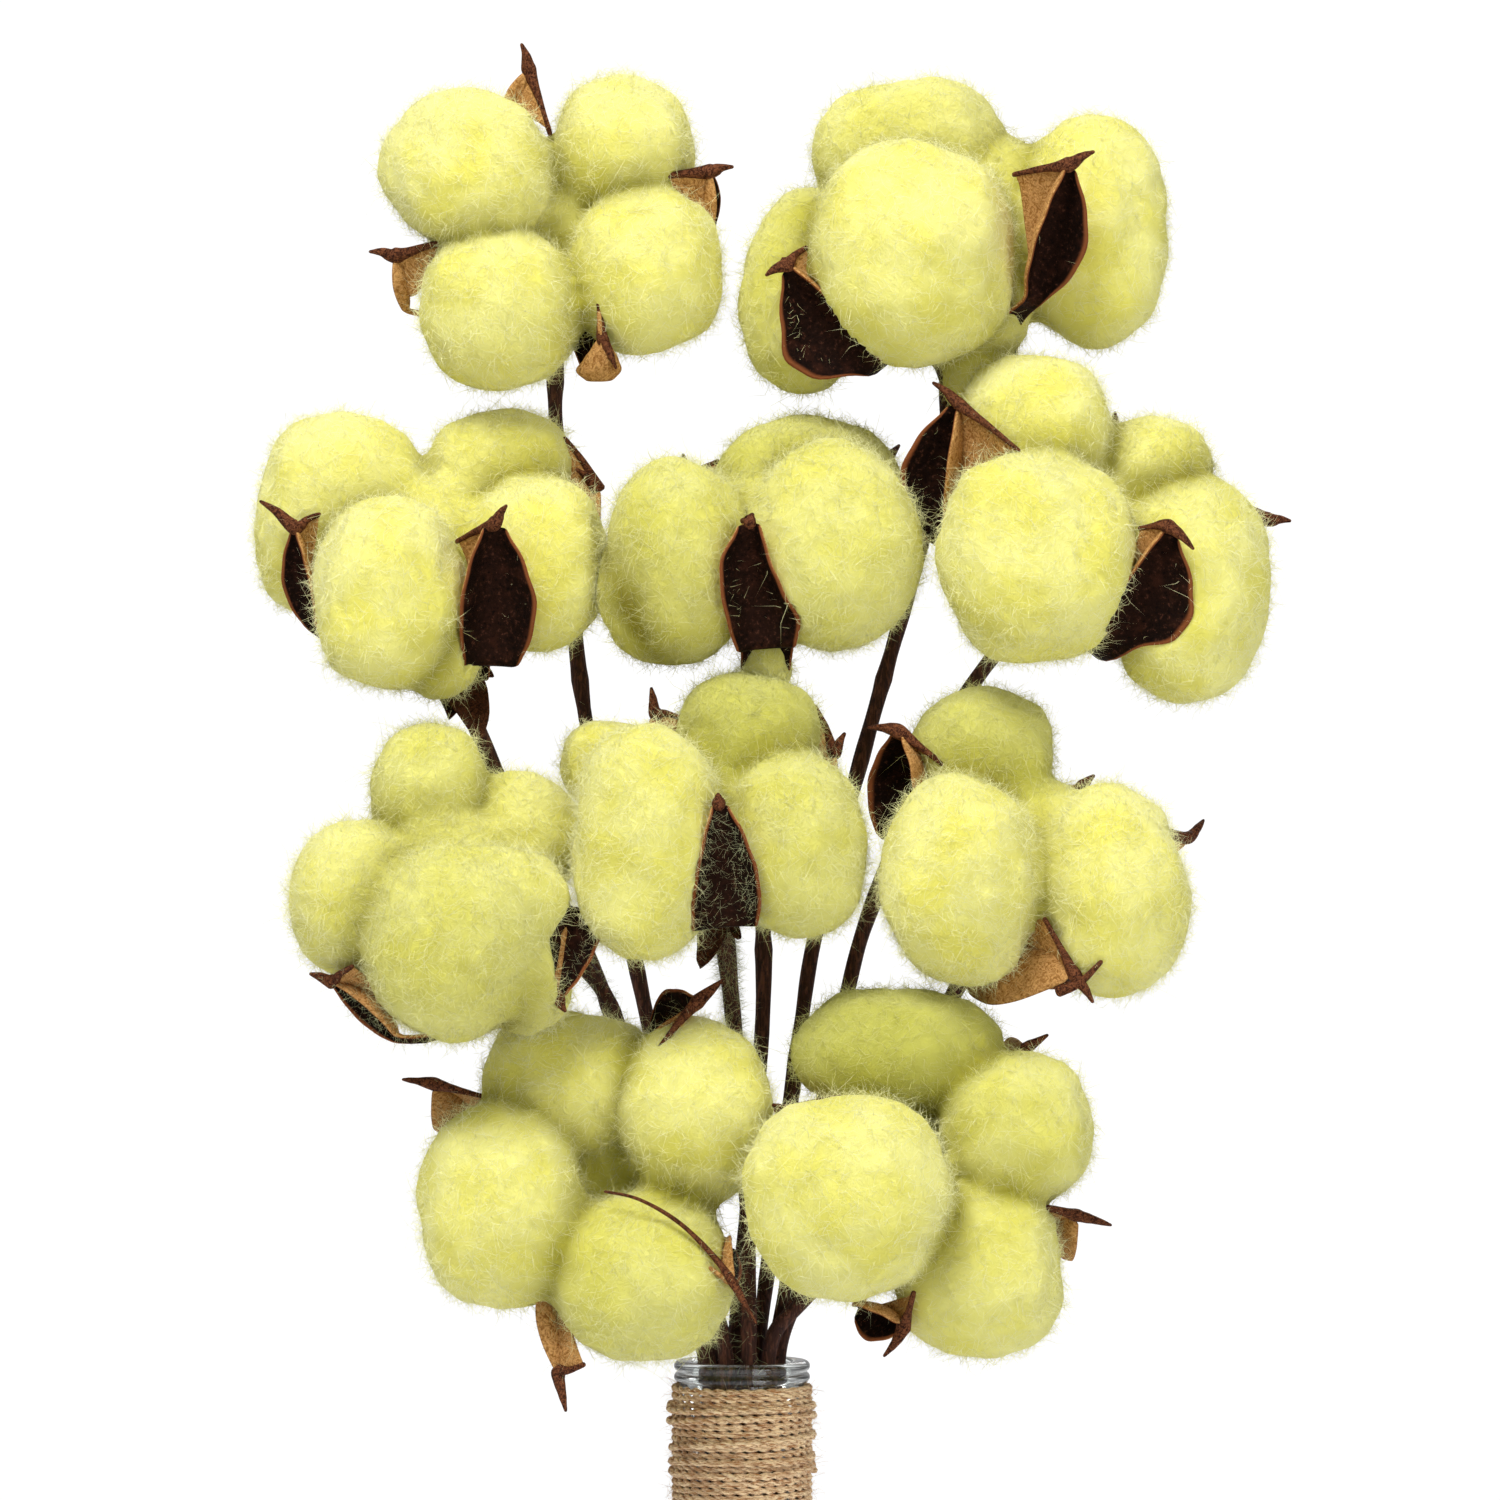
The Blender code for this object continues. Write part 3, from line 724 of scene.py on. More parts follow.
def fibre_material(settings):
    """Single dyed cotton fibres, paler than the mass because light shines through them, with the
    cotton's painted shade.
    """
    material, tree, shader = new_material("loose_cotton_fibre")
    dye_and_shade = add_node(tree, MARK, {}, attribute_name="dye_and_shade")
    crease_shade = add_node(tree, MARK, {}, attribute_name="crease_shade")
    # Painted shade, as on the cotton under them: the deeper-painted locks' olive, partly more dye,
    # and the dark olive of the creases.
    dyed = add_node(
        tree, MIX, {0: dye_and_shade.outputs["Fac"], 6: settings.loose, 7: settings.strong_dye_and_shade}, **COLOUR
    )
    shaded = add_node(
        tree, MIX, {0: crease_shade.outputs["Fac"], 6: dyed.outputs[2], 7: settings.crease_shade}, **COLOUR
    )
    tree.links.new(shaded.outputs[2], shader.inputs["Base Color"])
    shader.inputs["Roughness"].default_value = 0.9
    shader.inputs["Specular IOR Level"].default_value = 0.1
    return material


def lint_material(settings):
    """Grey-green cotton lint caught on the dark burr and on the bark: thin, matt threads."""
    material, _tree, shader = new_material("caught_cotton_lint")
    shader.inputs["Base Color"].default_value = settings.lint
    shader.inputs["Roughness"].default_value = 0.9
    shader.inputs["Specular IOR Level"].default_value = 0.2
    return material


def burr_material(settings):
    """Dried seed case: dark and faintly speckled outside with a painted highlight along each
    valve's middle, brown rim, tan fibrous lining.
    """
    material, tree, shader = new_material("dried_seed_case")
    place = add_node(tree, PLACE, {}).outputs["Object"]
    edge = add_node(tree, MARK, {}, attribute_name="edge").outputs["Fac"]
    # Painted highlight: a little redder, lighter brown along the middle of each valve stands in for
    # the light on its curved wall.
    keel = add_node(tree, RANGE, {"Value": edge, 1: 0.1, 2: 0.8, 3: 0.15, 4: 0.0}, **SOFT)
    skin = add_node(
        tree, MIX, {0: keel.outputs[0], 6: settings.outside, 7: settings.middle}, **COLOUR
    )
    # The skin weathers to red-brown in blotches about 4 mm across.
    blotches = add_node(tree, NOISE, {"Vector": place, "Scale": 1.0 / 0.004, "Detail": 2.0})
    worn = add_node(tree, RANGE, {"Value": blotches.outputs[0], 1: 0.5, 2: 0.75, 4: 0.35}, **SOFT)
    skin = add_node(
        tree, MIX, {0: worn.outputs[0], 6: skin.outputs[2], 7: settings.middle}, **COLOUR
    )
    # Dark glands 0.3 mm apart: drawn 0.9 mm apart, the finest that shows.
    inputs = {"Vector": place, "Scale": 1.0 / 0.0009, "Detail": 4.0, "Roughness": 0.75}
    glands = add_node(tree, NOISE, inputs)
    speckle = add_node(tree, RANGE, {"Value": glands.outputs[0], 1: 0.54, 2: 0.7}, **SOFT)
    skin = add_node(
        tree, MIX, {0: speckle.outputs[0], 6: skin.outputs[2], 7: settings.speckle}, **COLOUR
    )
    dots = add_node(tree, RANGE, {"Value": glands.outputs[0], 1: 0.46, 2: 0.34}, **SOFT)
    skin = add_node(
        tree, MIX, {0: dots.outputs[0], 6: skin.outputs[2], 7: settings.gland}, **COLOUR
    )
    rim = add_node(tree, RANGE, {"Value": edge, 1: 0.91, 2: 1.0}, **SOFT)
    skin = add_node(tree, MIX, {0: rim.outputs[0], 6: skin.outputs[2], 7: settings.rim}, **COLOUR)
    # The lining's fibres lie in streaks about 1.2 mm wide.
    inputs = {"Vector": place, "Scale": 1.0 / 0.0012, "Detail": 4.0, "Roughness": 0.7}
    streaks = add_node(tree, NOISE, {**inputs, "Distortion": 2.2})
    streaked = add_node(tree, RANGE, {"Value": streaks.outputs[0], 1: 0.34, 2: 0.64}, **SOFT)
    lining = add_node(
        tree, MIX, {0: streaked.outputs[0], 6: settings.inside_dark, 7: settings.inside}, **COLOUR
    )
    inner = add_node(tree, MARK, {}, attribute_name="inner")
    side = add_node(tree, RANGE, {"Value": inner.outputs["Fac"], 1: 0.35, 2: 0.65}, **SOFT)
    wall = add_node(
        tree, MIX, {0: side.outputs[0], 6: skin.outputs[2], 7: lining.outputs[2]}, **COLOUR
    )
    # The woody beak's grain is about 0.7 mm wide.
    inputs = {"Vector": place, "Scale": 1.0 / 0.0007, "Detail": 5.0, "Roughness": 0.75}
    grain = add_node(tree, NOISE, {**inputs, "Distortion": 1.5})
    grained = add_node(tree, RANGE, {"Value": grain.outputs[0], 1: 0.4, 2: 0.62}, **SOFT)
    wood = add_node(
        tree, MIX, {0: grained.outputs[0], 6: settings.beak_dark, 7: settings.beak}, **COLOUR
    )
    beak = add_node(tree, MARK, {}, attribute_name="beak")
    colour = add_node(
        tree, MIX, {0: beak.outputs["Fac"], 6: wall.outputs[2], 7: wood.outputs[2]}, **COLOUR
    )
    tree.links.new(colour.outputs[2], shader.inputs["Base Color"])
    dull = add_node(tree, RANGE, {"Value": blotches.outputs[0], 3: 0.45, 4: 0.8})
    tree.links.new(dull.outputs[0], shader.inputs["Roughness"])
    shader.inputs["Specular IOR Level"].default_value = 0.05
    bump = add_node(tree, BUMP, {"Height": streaks.outputs[0], "Distance": 0.0005, "Strength": 0.8})
    tree.links.new(bump.outputs[0], shader.inputs["Normal"])
    return material


def bark_material(settings):
    """Dry cotton bark: dark red-brown, matt, with fine lengthwise wrinkles and dark scars."""
    material, tree, shader = new_material("dry_cotton_bark")
    place = add_node(tree, PLACE, {}).outputs["Object"]
    stretched = add_node(tree, MAPPING, {"Vector": place, "Scale": (1.0, 1.0, 0.16)})
    # Wrinkles 0.7 mm apart round the stem and about 4 mm long.
    inputs = {"Scale": 1.0 / 0.0007, "Detail": 4.0, "Roughness": 0.7, "Distortion": 0.6}
    wrinkles = add_node(tree, NOISE, {"Vector": stretched.outputs[0], **inputs})
    raised = add_node(tree, RANGE, {"Value": wrinkles.outputs[0], 1: 0.42, 2: 0.7}, **SOFT)
    wood = add_node(
        tree, MIX, {0: raised.outputs[0], 6: settings.bark, 7: settings.ridge}, **COLOUR
    )
    # Scars about 1 mm across.
    inputs = {"Vector": place, "Scale": 1.0 / 0.001, "Detail": 3.0, "Roughness": 0.7}
    specks = add_node(tree, NOISE, inputs)
    scars = add_node(tree, RANGE, {"Value": specks.outputs[0], 1: 0.56, 2: 0.70}, **SOFT)
    wood = add_node(
        tree, MIX, {0: scars.outputs[0], 6: wood.outputs[2], 7: settings.scar}, **COLOUR
    )
    tree.links.new(wood.outputs[2], shader.inputs["Base Color"])
    bump = add_node(tree, BUMP, {"Height": wrinkles.outputs[0], "Distance": 0.0006})
    tree.links.new(bump.outputs[0], shader.inputs["Normal"])
    shader.inputs["Roughness"].default_value = 0.7
    shader.inputs["Specular IOR Level"].default_value = 0.3
    return material


def jute_material(settings):
    """Two-ply jute twine: dull straw-coloured fibre with browner streaks along the ply."""
    material, tree, shader = new_material("jute_fibre")
    place = add_node(tree, PLACE, {}).outputs["Object"]
    stretched = add_node(tree, MAPPING, {"Vector": place, "Scale": (0.5, 0.5, 3.0)})
    # Fibre bundles 0.3 mm high and about 2 mm long round the neck.
    inputs = {"Scale": 1.0 / 0.0009, "Detail": 4.0, "Roughness": 0.7, "Distortion": 0.8}
    fibres = add_node(tree, NOISE, {"Vector": stretched.outputs[0], **inputs})
    bundles = add_node(tree, RANGE, {"Value": fibres.outputs[0], 1: 0.38, 2: 0.58}, **SOFT)
    straw = add_node(
        tree, MIX, {0: bundles.outputs[0], 6: settings.brown, 7: settings.light}, **COLOUR
    )
    # Browner lengths of about 7 mm.
    lengths = add_node(tree, NOISE, {"Vector": place, "Scale": 1.0 / 0.007})
    browner = add_node(
        tree, RANGE, {"Value": lengths.outputs[0], 1: 0.48, 2: 0.7, 4: 0.45}, **SOFT
    )
    colour = add_node(
        tree, MIX, {0: browner.outputs[0], 6: straw.outputs[2], 7: settings.brown}, **COLOUR
    )
    tree.links.new(colour.outputs[2], shader.inputs["Base Color"])
    bump = add_node(tree, BUMP, {"Height": fibres.outputs[0], "Distance": 0.0004, "Strength": 0.9})
    tree.links.new(bump.outputs[0], shader.inputs["Normal"])
    shader.inputs["Roughness"].default_value = 0.9
    shader.inputs["Specular IOR Level"].default_value = 0.15
    shader.inputs["Sheen Weight"].default_value = 0.2
    return material


def glass_material(settings):
    """Clear soda-lime glass, pressed and fire-polished: smooth, faintly wavy, with a cool tint."""
    material, tree, shader = new_material("soda_lime_glass")
    place = add_node(tree, PLACE, {}).outputs["Object"]
    # The mould leaves waves about 12 mm long.
    waves = add_node(tree, NOISE, {"Vector": place, "Scale": 1.0 / 0.012, "Detail": 1.0})
    bump = add_node(tree, BUMP, {"Height": waves.outputs[0], "Distance": 0.0004, "Strength": 0.5})
    tree.links.new(bump.outputs[0], shader.inputs["Normal"])
    shader.inputs["Base Color"].default_value = settings.tint
    shader.inputs["Roughness"].default_value = 0.02
    shader.inputs["IOR"].default_value = 1.52
    shader.inputs["Transmission Weight"].default_value = 1.0
    return material


# ---- loose fibres --------------------------------------------------------------------------------

# In metres: how far a fibre's root is sunk in the surface, and the half widths of lint and hairs.
# A thread narrows to its bend, turns there at random, and falls back if it lies low.
ROOT_DEPTH = 0.0003
BEND_WIDTH = 0.75
BEND_TURN = 0.525
BEND_FALL = 0.25
BURR_LINT_WIDTH = 0.000022
STEM_LINT_WIDTH = 0.00003
JUTE_HAIR_WIDTH = 0.00003
JUTE_HAIR_COUNT = 7000


def surface_samples(mesh, count, rng, weights=None):
    """Random points on a mesh with their normals, and the nearest corner of each."""
    mesh.calc_loop_triangles()
    triangles = np.empty(len(mesh.loop_triangles) * 3, dtype=np.int32)
    mesh.loop_triangles.foreach_get("vertices", triangles)
    triangles = triangles.reshape(-1, 3)
    points = read_points(mesh)
    corners = points[triangles]
    cross = np.cross(corners[:, 1] - corners[:, 0], corners[:, 2] - corners[:, 0])
    size = np.linalg.norm(cross, axis=1)
    share = size.copy()
    if weights is not None:
        share *= weights[triangles].mean(axis=1)
    chosen = rng.choice(len(triangles), size=count, p=share / share.sum())
    first = np.sqrt(rng.random((count, 1)))
    second = rng.random((count, 1))
    picked = corners[chosen]
    roots = (
        picked[:, 0] * (1.0 - first)
        + picked[:, 1] * first * (1.0 - second)
        + picked[:, 2] * first * second
    )
    normals = cross[chosen] / np.maximum(size[chosen], 1e-12)[:, None]
    return roots, normals, triangles[chosen, 0]


def unit(vectors):
    """The same directions, each of length one."""
    return vectors / np.maximum(np.linalg.norm(vectors, axis=1, keepdims=True), 1e-9)


def fibre_object(name, roots, normals, lengths, lifts, width, rng):
    """Closed, tapered threads with one bend each: seven points and ten triangles a thread."""
    count = len(roots)
    wander = rng.normal(size=(count, 3))
    along = unit(wander - normals * (wander * normals).sum(axis=1, keepdims=True))
    lift = lifts[:, None]
    start = unit(along * (1.0 - lift) + normals * lift)
    fall = normals * BEND_FALL * (1.0 - lift)
    turn = unit(start + BEND_TURN * rng.normal(size=(count, 3)) - fall)
    half = lengths[:, None] * 0.5
    below = roots - normals * ROOT_DEPTH
    middle = roots + start * half
    tip = middle + turn * half
    side = unit(np.cross(start, rng.normal(size=(count, 3))))
    other = np.cross(start, side)
    points = np.empty((count, 7, 3))
    for corner in range(3):
        angle = 2.0 * math.pi * corner / 3.0
        offset = (side * math.cos(angle) + other * math.sin(angle)) * width
        points[:, corner] = below + offset
        points[:, 3 + corner] = middle + offset * BEND_WIDTH
    points[:, 6] = tip
    pattern = np.array(
        [
            (0, 2, 1),
            (0, 1, 4),
            (0, 4, 3),
            (1, 2, 5),
            (1, 5, 4),
            (2, 0, 3),
            (2, 3, 5),
            (3, 4, 6),
            (4, 5, 6),
            (5, 3, 6),
        ]
    )
    faces = (np.arange(count)[:, None, None] * 7 + pattern[None]).reshape(-1, 3)
    mesh = bpy.data.meshes.new(name)
    mesh.vertices.add(count * 7)
    mesh.vertices.foreach_set("co", points.astype(np.float32).ravel())
    mesh.loops.add(faces.size)
    mesh.loops.foreach_set("vertex_index", faces.astype(np.int32).ravel())
    mesh.polygons.add(len(faces))
    mesh.polygons.foreach_set("loop_start", np.arange(0, faces.size, 3, dtype=np.int32))
    mesh.polygons.foreach_set("use_smooth", np.ones(len(faces), dtype=bool))
    mesh.update(calc_edges=True)
    mesh.validate()
    return new_object(name, mesh)


# ---- cotton --------------------------------------------------------------------------------------

# In metres: how fast the painted crease shade fades, and where a deeper-painted lock's colour (more
# dye, and painted shade) ends and how it fades.
CREASE_FADE = 0.0026
DYE_AND_SHADE_EDGE = 0.002
DYE_AND_SHADE_FADE = 0.004
# The share of fibres that stand well off the cotton, and how much shorter those are.
STANDING_SHARE = 0.18
STANDING_LENGTH = 0.62
# How much of the cotton's painted crease shade and deeper-painted locks its loose fibres keep.
FUZZ_SHADE = 0.7
# The noise level that leaves the surface where it is: a little past half, so lumps sit lower.
STILL_LEVEL = 0.56


def lock_distances(points, boll):
    """How far each point is outside each of the boll's locks, roughly, in metres."""
    columns = []
    for centre, radii in boll["locks"][:-1]:
        radii = np.array(radii) * MM
        scaled = np.linalg.norm((points - np.array(centre) * MM) / radii, axis=1)
        columns.append((scaled - 1.0) * radii.mean())
    return np.stack(columns, axis=1)


def displace(item, name, size, depth):
    """Push a surface in and out by soft noise."""
    texture = bpy.data.textures.new(name, "CLOUDS")
    texture.noise_scale = size
    texture.noise_depth = 1
    modifier = item.modifiers.new(name, "DISPLACE")
    modifier.texture = texture
    modifier.texture_coords = "LOCAL"
    modifier.strength = depth
    modifier.mid_level = STILL_LEVEL


def build_cotton(number, boll, settings):
    """One boll's locks, melted together, with soft lumps and tufts."""
    locks = []
    deselect()
    for centre, radii in (*boll["locks"], *boll.get("swellings", ())):
        bpy.ops.mesh.primitive_uv_sphere_add(
            segments=48,
            ring_count=28,
            radius=1.0,
            location=Vector(centre) * MM,
            scale=Vector(radii) * MM,
        )
        lock = bpy.context.object
        squarer = lock.modifiers.new("squarer", "CAST")
        squarer.cast_type = "CUBOID"
        squarer.factor = settings.squareness
        apply_modifiers(lock)
        locks.append(lock)
    item = join(locks, f"cotton_fill_{number:02d}")
    bpy.ops.object.transform_apply(location=True, rotation=True, scale=True)
    melt = item.modifiers.new("melt", "REMESH")
    melt.mode = "VOXEL"
    melt.voxel_size = settings.voxel
    soften = item.modifiers.new("soften", "SMOOTH")
    soften.factor = 0.5
    soften.iterations = 5
    displace(item, "lumps", settings.lump_size, settings.lump_depth)
    displace(item, "tufts", settings.tuft_size, settings.tuft_depth)
    apply_modifiers(item)
    bpy.ops.object.shade_smooth()
    distances = lock_distances(read_points(item.data), boll)
    # The mask for the painted crease shade: how near each point is to a second lock.
    second = np.sort(distances, axis=1)[:, 1]
    write_attribute(item.data, "crease_shade", np.exp(-np.maximum(second, 0.0) / CREASE_FADE))
    # The mask for the deeper-painted locks: partly more dye, partly painted shade from the bolls
    # above.
    dye_and_shade = np.zeros(len(distances))
    for lock, share in boll["dye_and_shade"].items():
        reach = np.maximum(distances[:, lock] - DYE_AND_SHADE_EDGE, 0.0)
        dye_and_shade = np.maximum(dye_and_shade, share * np.exp(-reach / DYE_AND_SHADE_FADE))
    write_attribute(item.data, "dye_and_shade", dye_and_shade)
    return item


def build_fuzz(number, fill, settings):
    """The halo of loose fibres on one boll."""
    rng = np.random.default_rng(100 + number)
    count = settings.fibre_count
    covered = np.empty(len(fill.data.vertices), dtype=np.float32)
    fill.data.attributes["covered"].data.foreach_get("value", covered)
    roots, normals, corners = surface_samples(fill.data, count, rng, 1.0 - covered)
    lengths = settings.fibre_length * np.exp(rng.normal(0.0, 0.35, count))
    lifts = np.where(rng.random(count) < STANDING_SHARE, rng.uniform(0.4, 0.9, count), 0.0)
    lifts = np.maximum(lifts, rng.uniform(0.08, 0.38, count))
    lengths = np.where(lifts > 0.4, lengths * STANDING_LENGTH, lengths)
    item = fibre_object(
        f"cotton_fuzz_{number:02d}", roots, normals, lengths, lifts, settings.fibre_width, rng
    )
    # The fibres copy the cotton's painted crease shade and deeper-painted locks, a little weaker.
    for name in ("crease_shade", "dye_and_shade"):
        values = np.empty(len(fill.data.vertices), dtype=np.float32)
        fill.data.attributes[name].data.foreach_get("value", values)
        write_attribute(item.data, name, np.repeat(values[corners], 7) * FUZZ_SHADE)
    return item


class COTTONBUNCH_OT_cotton(bpy.types.Operator):
    """Build the ten cotton bolls"""

    bl_idname = "cotton_bunch.cotton"
    bl_label = "Cotton"

    def execute(self, context):
        settings = context.scene.bunch_cotton
        surface = cotton_material(settings)
        for number, boll in enumerate(BOLLS, start=1):
            fill = build_cotton(number, boll, settings)
            finish_piece(fill, surface, [f"cotton_{number:02d}"])
        return {"FINISHED"}


# ---- burrs ---------------------------------------------------------------------------------------

BLADE_ROWS = 13
STRAP_ROWS = 7
COLUMNS = 9
SEPTUM_ROWS = 8
SEPTUM_COLUMNS = 6
BAR_STEPS = 5
CUP_SIDES = 20
# Where a valve's strap leaves the cup, and how far past the foot an unseen valve's bar starts.
CUP_ANGLE = math.radians(14.0)
CROWN_ANGLE = math.radians(22.0)
# In metres: a ray's start outside any boll, the radius where it meets nothing, the strap's gap
# from the cotton, how deep it sinks between the locks, and its half width at the cup.
RAY_REACH = 0.09
NO_COTTON = 0.02
STRAP_GAP = 0.0006
STRAP_SINK = 0.0055
STRAP_WIDTH = 0.0042
# In metres: how far the cotton stays under a blade, and how thick a layer of it is pressed in.
PRESS_GAP = 0.0009
PRESS_DEPTH = 0.006


def surface_radius(tree, core, direction):
    """Distance from the core to the cotton's outside in this direction."""
    hit = tree.ray_cast(core + direction * RAY_REACH, -direction)[0]
    return (hit - core).length if hit is not None else NO_COTTON


def read_between(values, share):
    """A value at a share of the way along a row of values, blended softly."""
    place = min(max(share, 0.0), 1.0) * (len(values) - 1)
    index = min(int(place), len(values) - 2)
    blend = (1.0 - math.cos(math.pi * (place - index))) / 2.0
    return values[index] * (1.0 - blend) + values[index + 1] * blend


def catmull_rom(points, steps):
    """Points on a smooth curve through the given ones."""
    ends = [points[0] * 2.0 - points[1], *points, points[-1] * 2.0 - points[-2]]
    curve = []
    for before, start, end, after in zip(ends, ends[1:], ends[2:], ends[3:]):
        for step in range(steps):
            t = step / steps
            curve.append(
                0.5
                * (
                    2.0 * start
                    + (end - before) * t
                    + (2.0 * before - 5.0 * start + 4.0 * end - after) * t**2
                    + (3.0 * start - before - 3.0 * end + after) * t**3
                )
            )
    curve.append(points[-1])
    return curve


class Valve:
    """One valve in metres: a boat-shaped blade, a strap down to the cup, and a beak's path."""

    def __init__(self, tree, core, base, entry):
        self.tree = tree
        self.core = core
        self.base = base
        self.foot = Vector(entry["foot"]) * MM
        self.tip = Vector(entry["tip"]) * MM
        outward = (self.foot - core).normalized()
        arc = base.angle(outward)
        turn = base.cross(outward).normalized()
        if entry["low"] is None:
            heading = Matrix.Rotation(arc * 0.5, 3, turn) @ base
            self.low = core + heading * (surface_radius(tree, core, heading) + 0.5 * MM)
        else:
            self.low = Vector(entry["low"]) * MM
        if entry["start"] is None:
            heading = Matrix.Rotation(arc + CROWN_ANGLE, 3, turn) @ base
            self.start = core + heading * surface_radius(tree, core, heading)
        else:
            self.start = Vector(entry["start"]) * MM
        self.up = (self.foot - self.low).normalized()
        face = outward if entry["face"] is None else Vector(entry["face"])
        self.face = (face - self.up * face.dot(self.up)).normalized()
        self.across = self.up.cross(self.face)
        neck = entry["neck"]
        self.neck = self.foot + self.up * 0.0012 if neck is None else Vector(neck) * MM
        self.foot = self.neck.lerp(self.foot, 0.25)
        self.path = [Vector(point) * MM for point in entry["path"]]
        self.prong = [Vector(point) * MM for point in entry["prong"]]
        self.widths = [self.side_widths(entry[side]) for side in ("left", "right")]
        self.depth = entry["depth"] * MM
        self.bulge = entry["bulge"] * MM
        self.rows = self.strap_rows() + self.blade_rows()

    @staticmethod
    def side_widths(value):
        """Half widths from the low end to the foot, in metres."""
        if isinstance(value, tuple):
            return [width * MM for width in value]
        return [value * share * MM for share in (0.35, 0.85, 1.0, 0.74, 0.2)]

    def keel(self, share):
        """The blade's deepest line, from the low end to the foot."""
        swell = math.sin(math.pi * share)
        return self.low.lerp(self.foot, share) + self.face * (
            self.bulge * swell - self.depth * swell**0.7
        )

    def blade_rows(self):
        """Rows over the boat-shaped blade, from its low end to the foot."""
        rows = []
        for row in range(BLADE_ROWS):
            share = row / (BLADE_ROWS - 1)
            swell = max(math.sin(math.pi * share), 0.0)
            points = []
            for column in range(COLUMNS):
                across = 2.0 * column / (COLUMNS - 1) - 1.0
                widths = self.widths[0] if across < 0.0 else self.widths[1]
                rise = abs(across) ** 1.8 * self.depth * swell**0.7 + abs(across) ** 8 * 0.0006
                points.append(
                    self.keel(share)
                    + self.across * (across * read_between(widths, share))
                    + self.face * rise
                )
            rows.append(points)
        return rows

    def strap_rows(self):
        """Rows that follow the cotton from the cup to the blade's low end."""
        toward = (self.low - self.core).normalized()
        reach = self.base.angle(toward)
        turn = self.base.cross(toward).normalized()
        side = turn if turn.dot(self.across) > 0.0 else -turn
        low_radius = (self.low - self.core).length
        rows = []
        for row in range(STRAP_ROWS):
            share = row / STRAP_ROWS
            angle = CUP_ANGLE + (reach - CUP_ANGLE) * share
            heading = Matrix.Rotation(angle, 3, turn) @ self.base
            radius = surface_radius(self.tree, self.core, heading) + STRAP_GAP
            sink = STRAP_SINK * math.sin(math.pi * share) ** 0.7
            radius = (radius - sink) * (1.0 - share**5) + low_radius * share**5
            across_now = side.lerp(self.across, share).normalized()
            points = []
            for column in range(COLUMNS):
                across = 2.0 * column / (COLUMNS - 1) - 1.0
                widths = self.widths[0] if across < 0.0 else self.widths[1]
                width = STRAP_WIDTH * (1.0 - share) + widths[0] * share
                rise = 0.0008 * across**2
                points.append(
                    self.core + heading * (radius + rise) + across_now * (across * width)
                )
            rows.append(points)
        return rows

    def bar_path(self):
        """From the crown, over the neck, out to the tip; and the neck's place along it."""
        inner = self.path or [
            self.start.lerp(self.neck, 0.5) + (self.up + self.face).normalized() * 0.0006
        ]
        bend = self.neck.lerp(self.tip, 0.5) + self.up * (0.06 * (self.tip - self.neck).length)
        knots = [self.start, *inner, self.neck, bend, self.tip]
        return catmull_rom(knots, BAR_STEPS), (len(inner) + 1) * BAR_STEPS


def sheet_object(name, grid):
    """A sheet of quads from rows of points."""
    points = [point for row in grid for point in row]
    return mesh_object(name, points, grid_faces(len(grid), len(grid[0])))


def thicken(item, thickness):
    """Give a sheet its wall."""
    wall = item.modifiers.new("wall", "SOLIDIFY")
    wall.thickness = thickness
    wall.offset = 0.0
    apply_modifiers(item)


def mark(item, inner=0.0, edge=0.0, beak=0.0):
    """What each point of a burr's part is: lining, rim or woody beak, from 0 to 1."""
    count = len(item.data.vertices)
    for name, value in (("inner", inner), ("edge", edge), ("beak", beak)):
        write_attribute(item.data, name, np.broadcast_to(value, count))


def build_wall(valve, thickness):
    """The valve's wall: the strap and the blade."""
    item = sheet_object("valve_wall", valve.rows)
    before = len(item.data.vertices)
    thicken(item, thickness)
    points = read_points(item.data)
    inner = np.zeros(len(points))
    outwards = np.array(valve.face)
    if ((points[:before] - points[before : before * 2]) @ outwards).mean() < 0.0:
        inner[:before] = 1.0
    else:
        inner[before : before * 2] = 1.0
    rim = np.abs(np.linspace(-1.0, 1.0, COLUMNS))
    mark(item, inner, np.tile(rim, len(points) // COLUMNS))
    return item


def build_septum(valve, thickness):
    """The thin wall that runs inwards from a blade's keel, under the bar."""
    inward = (valve.start - valve.neck) * (0.2 if valve.path else 1.0)
    grid = []
    for row in range(SEPTUM_ROWS):
        rise = row / (SEPTUM_ROWS - 1)
        root = valve.keel((0.25 + 0.75 * rise) * 0.97).lerp(valve.neck, rise**4)
        reach = (0.12 + 0.85 * rise**1.3) / (SEPTUM_COLUMNS - 1)
        grid.append([root + inward * (reach * column) for column in range(SEPTUM_COLUMNS)])
    item = sheet_object("valve_septum", grid)
    thicken(item, thickness)
    mark(item, inner=1.0)
    return item


def tube_object(name, path, widths, across=None, heights=None, sides=8):
    """A closed tube along a path, with its own half width and half height at each point."""
    points = []
    side = across
    heights = heights or widths
    for index, place in enumerate(path):
        ahead = (path[min(index + 1, len(path) - 1)] - path[max(index - 1, 0)]).normalized()
        if side is None:
            side = ahead.orthogonal()
        side = (side - ahead * side.dot(ahead)).normalized()
        up = ahead.cross(side)
        for corner in range(sides):
            angle = 2.0 * math.pi * corner / sides
            points.append(
                place
                + side * (math.cos(angle) * widths[index])
                + up * (math.sin(angle) * heights[index])
            )
    faces = ring_faces(len(path), sides)
    faces.append(tuple(reversed(range(sides))))
    faces.append(tuple(range(len(points) - sides, len(points))))
    return mesh_object(name, points, faces)


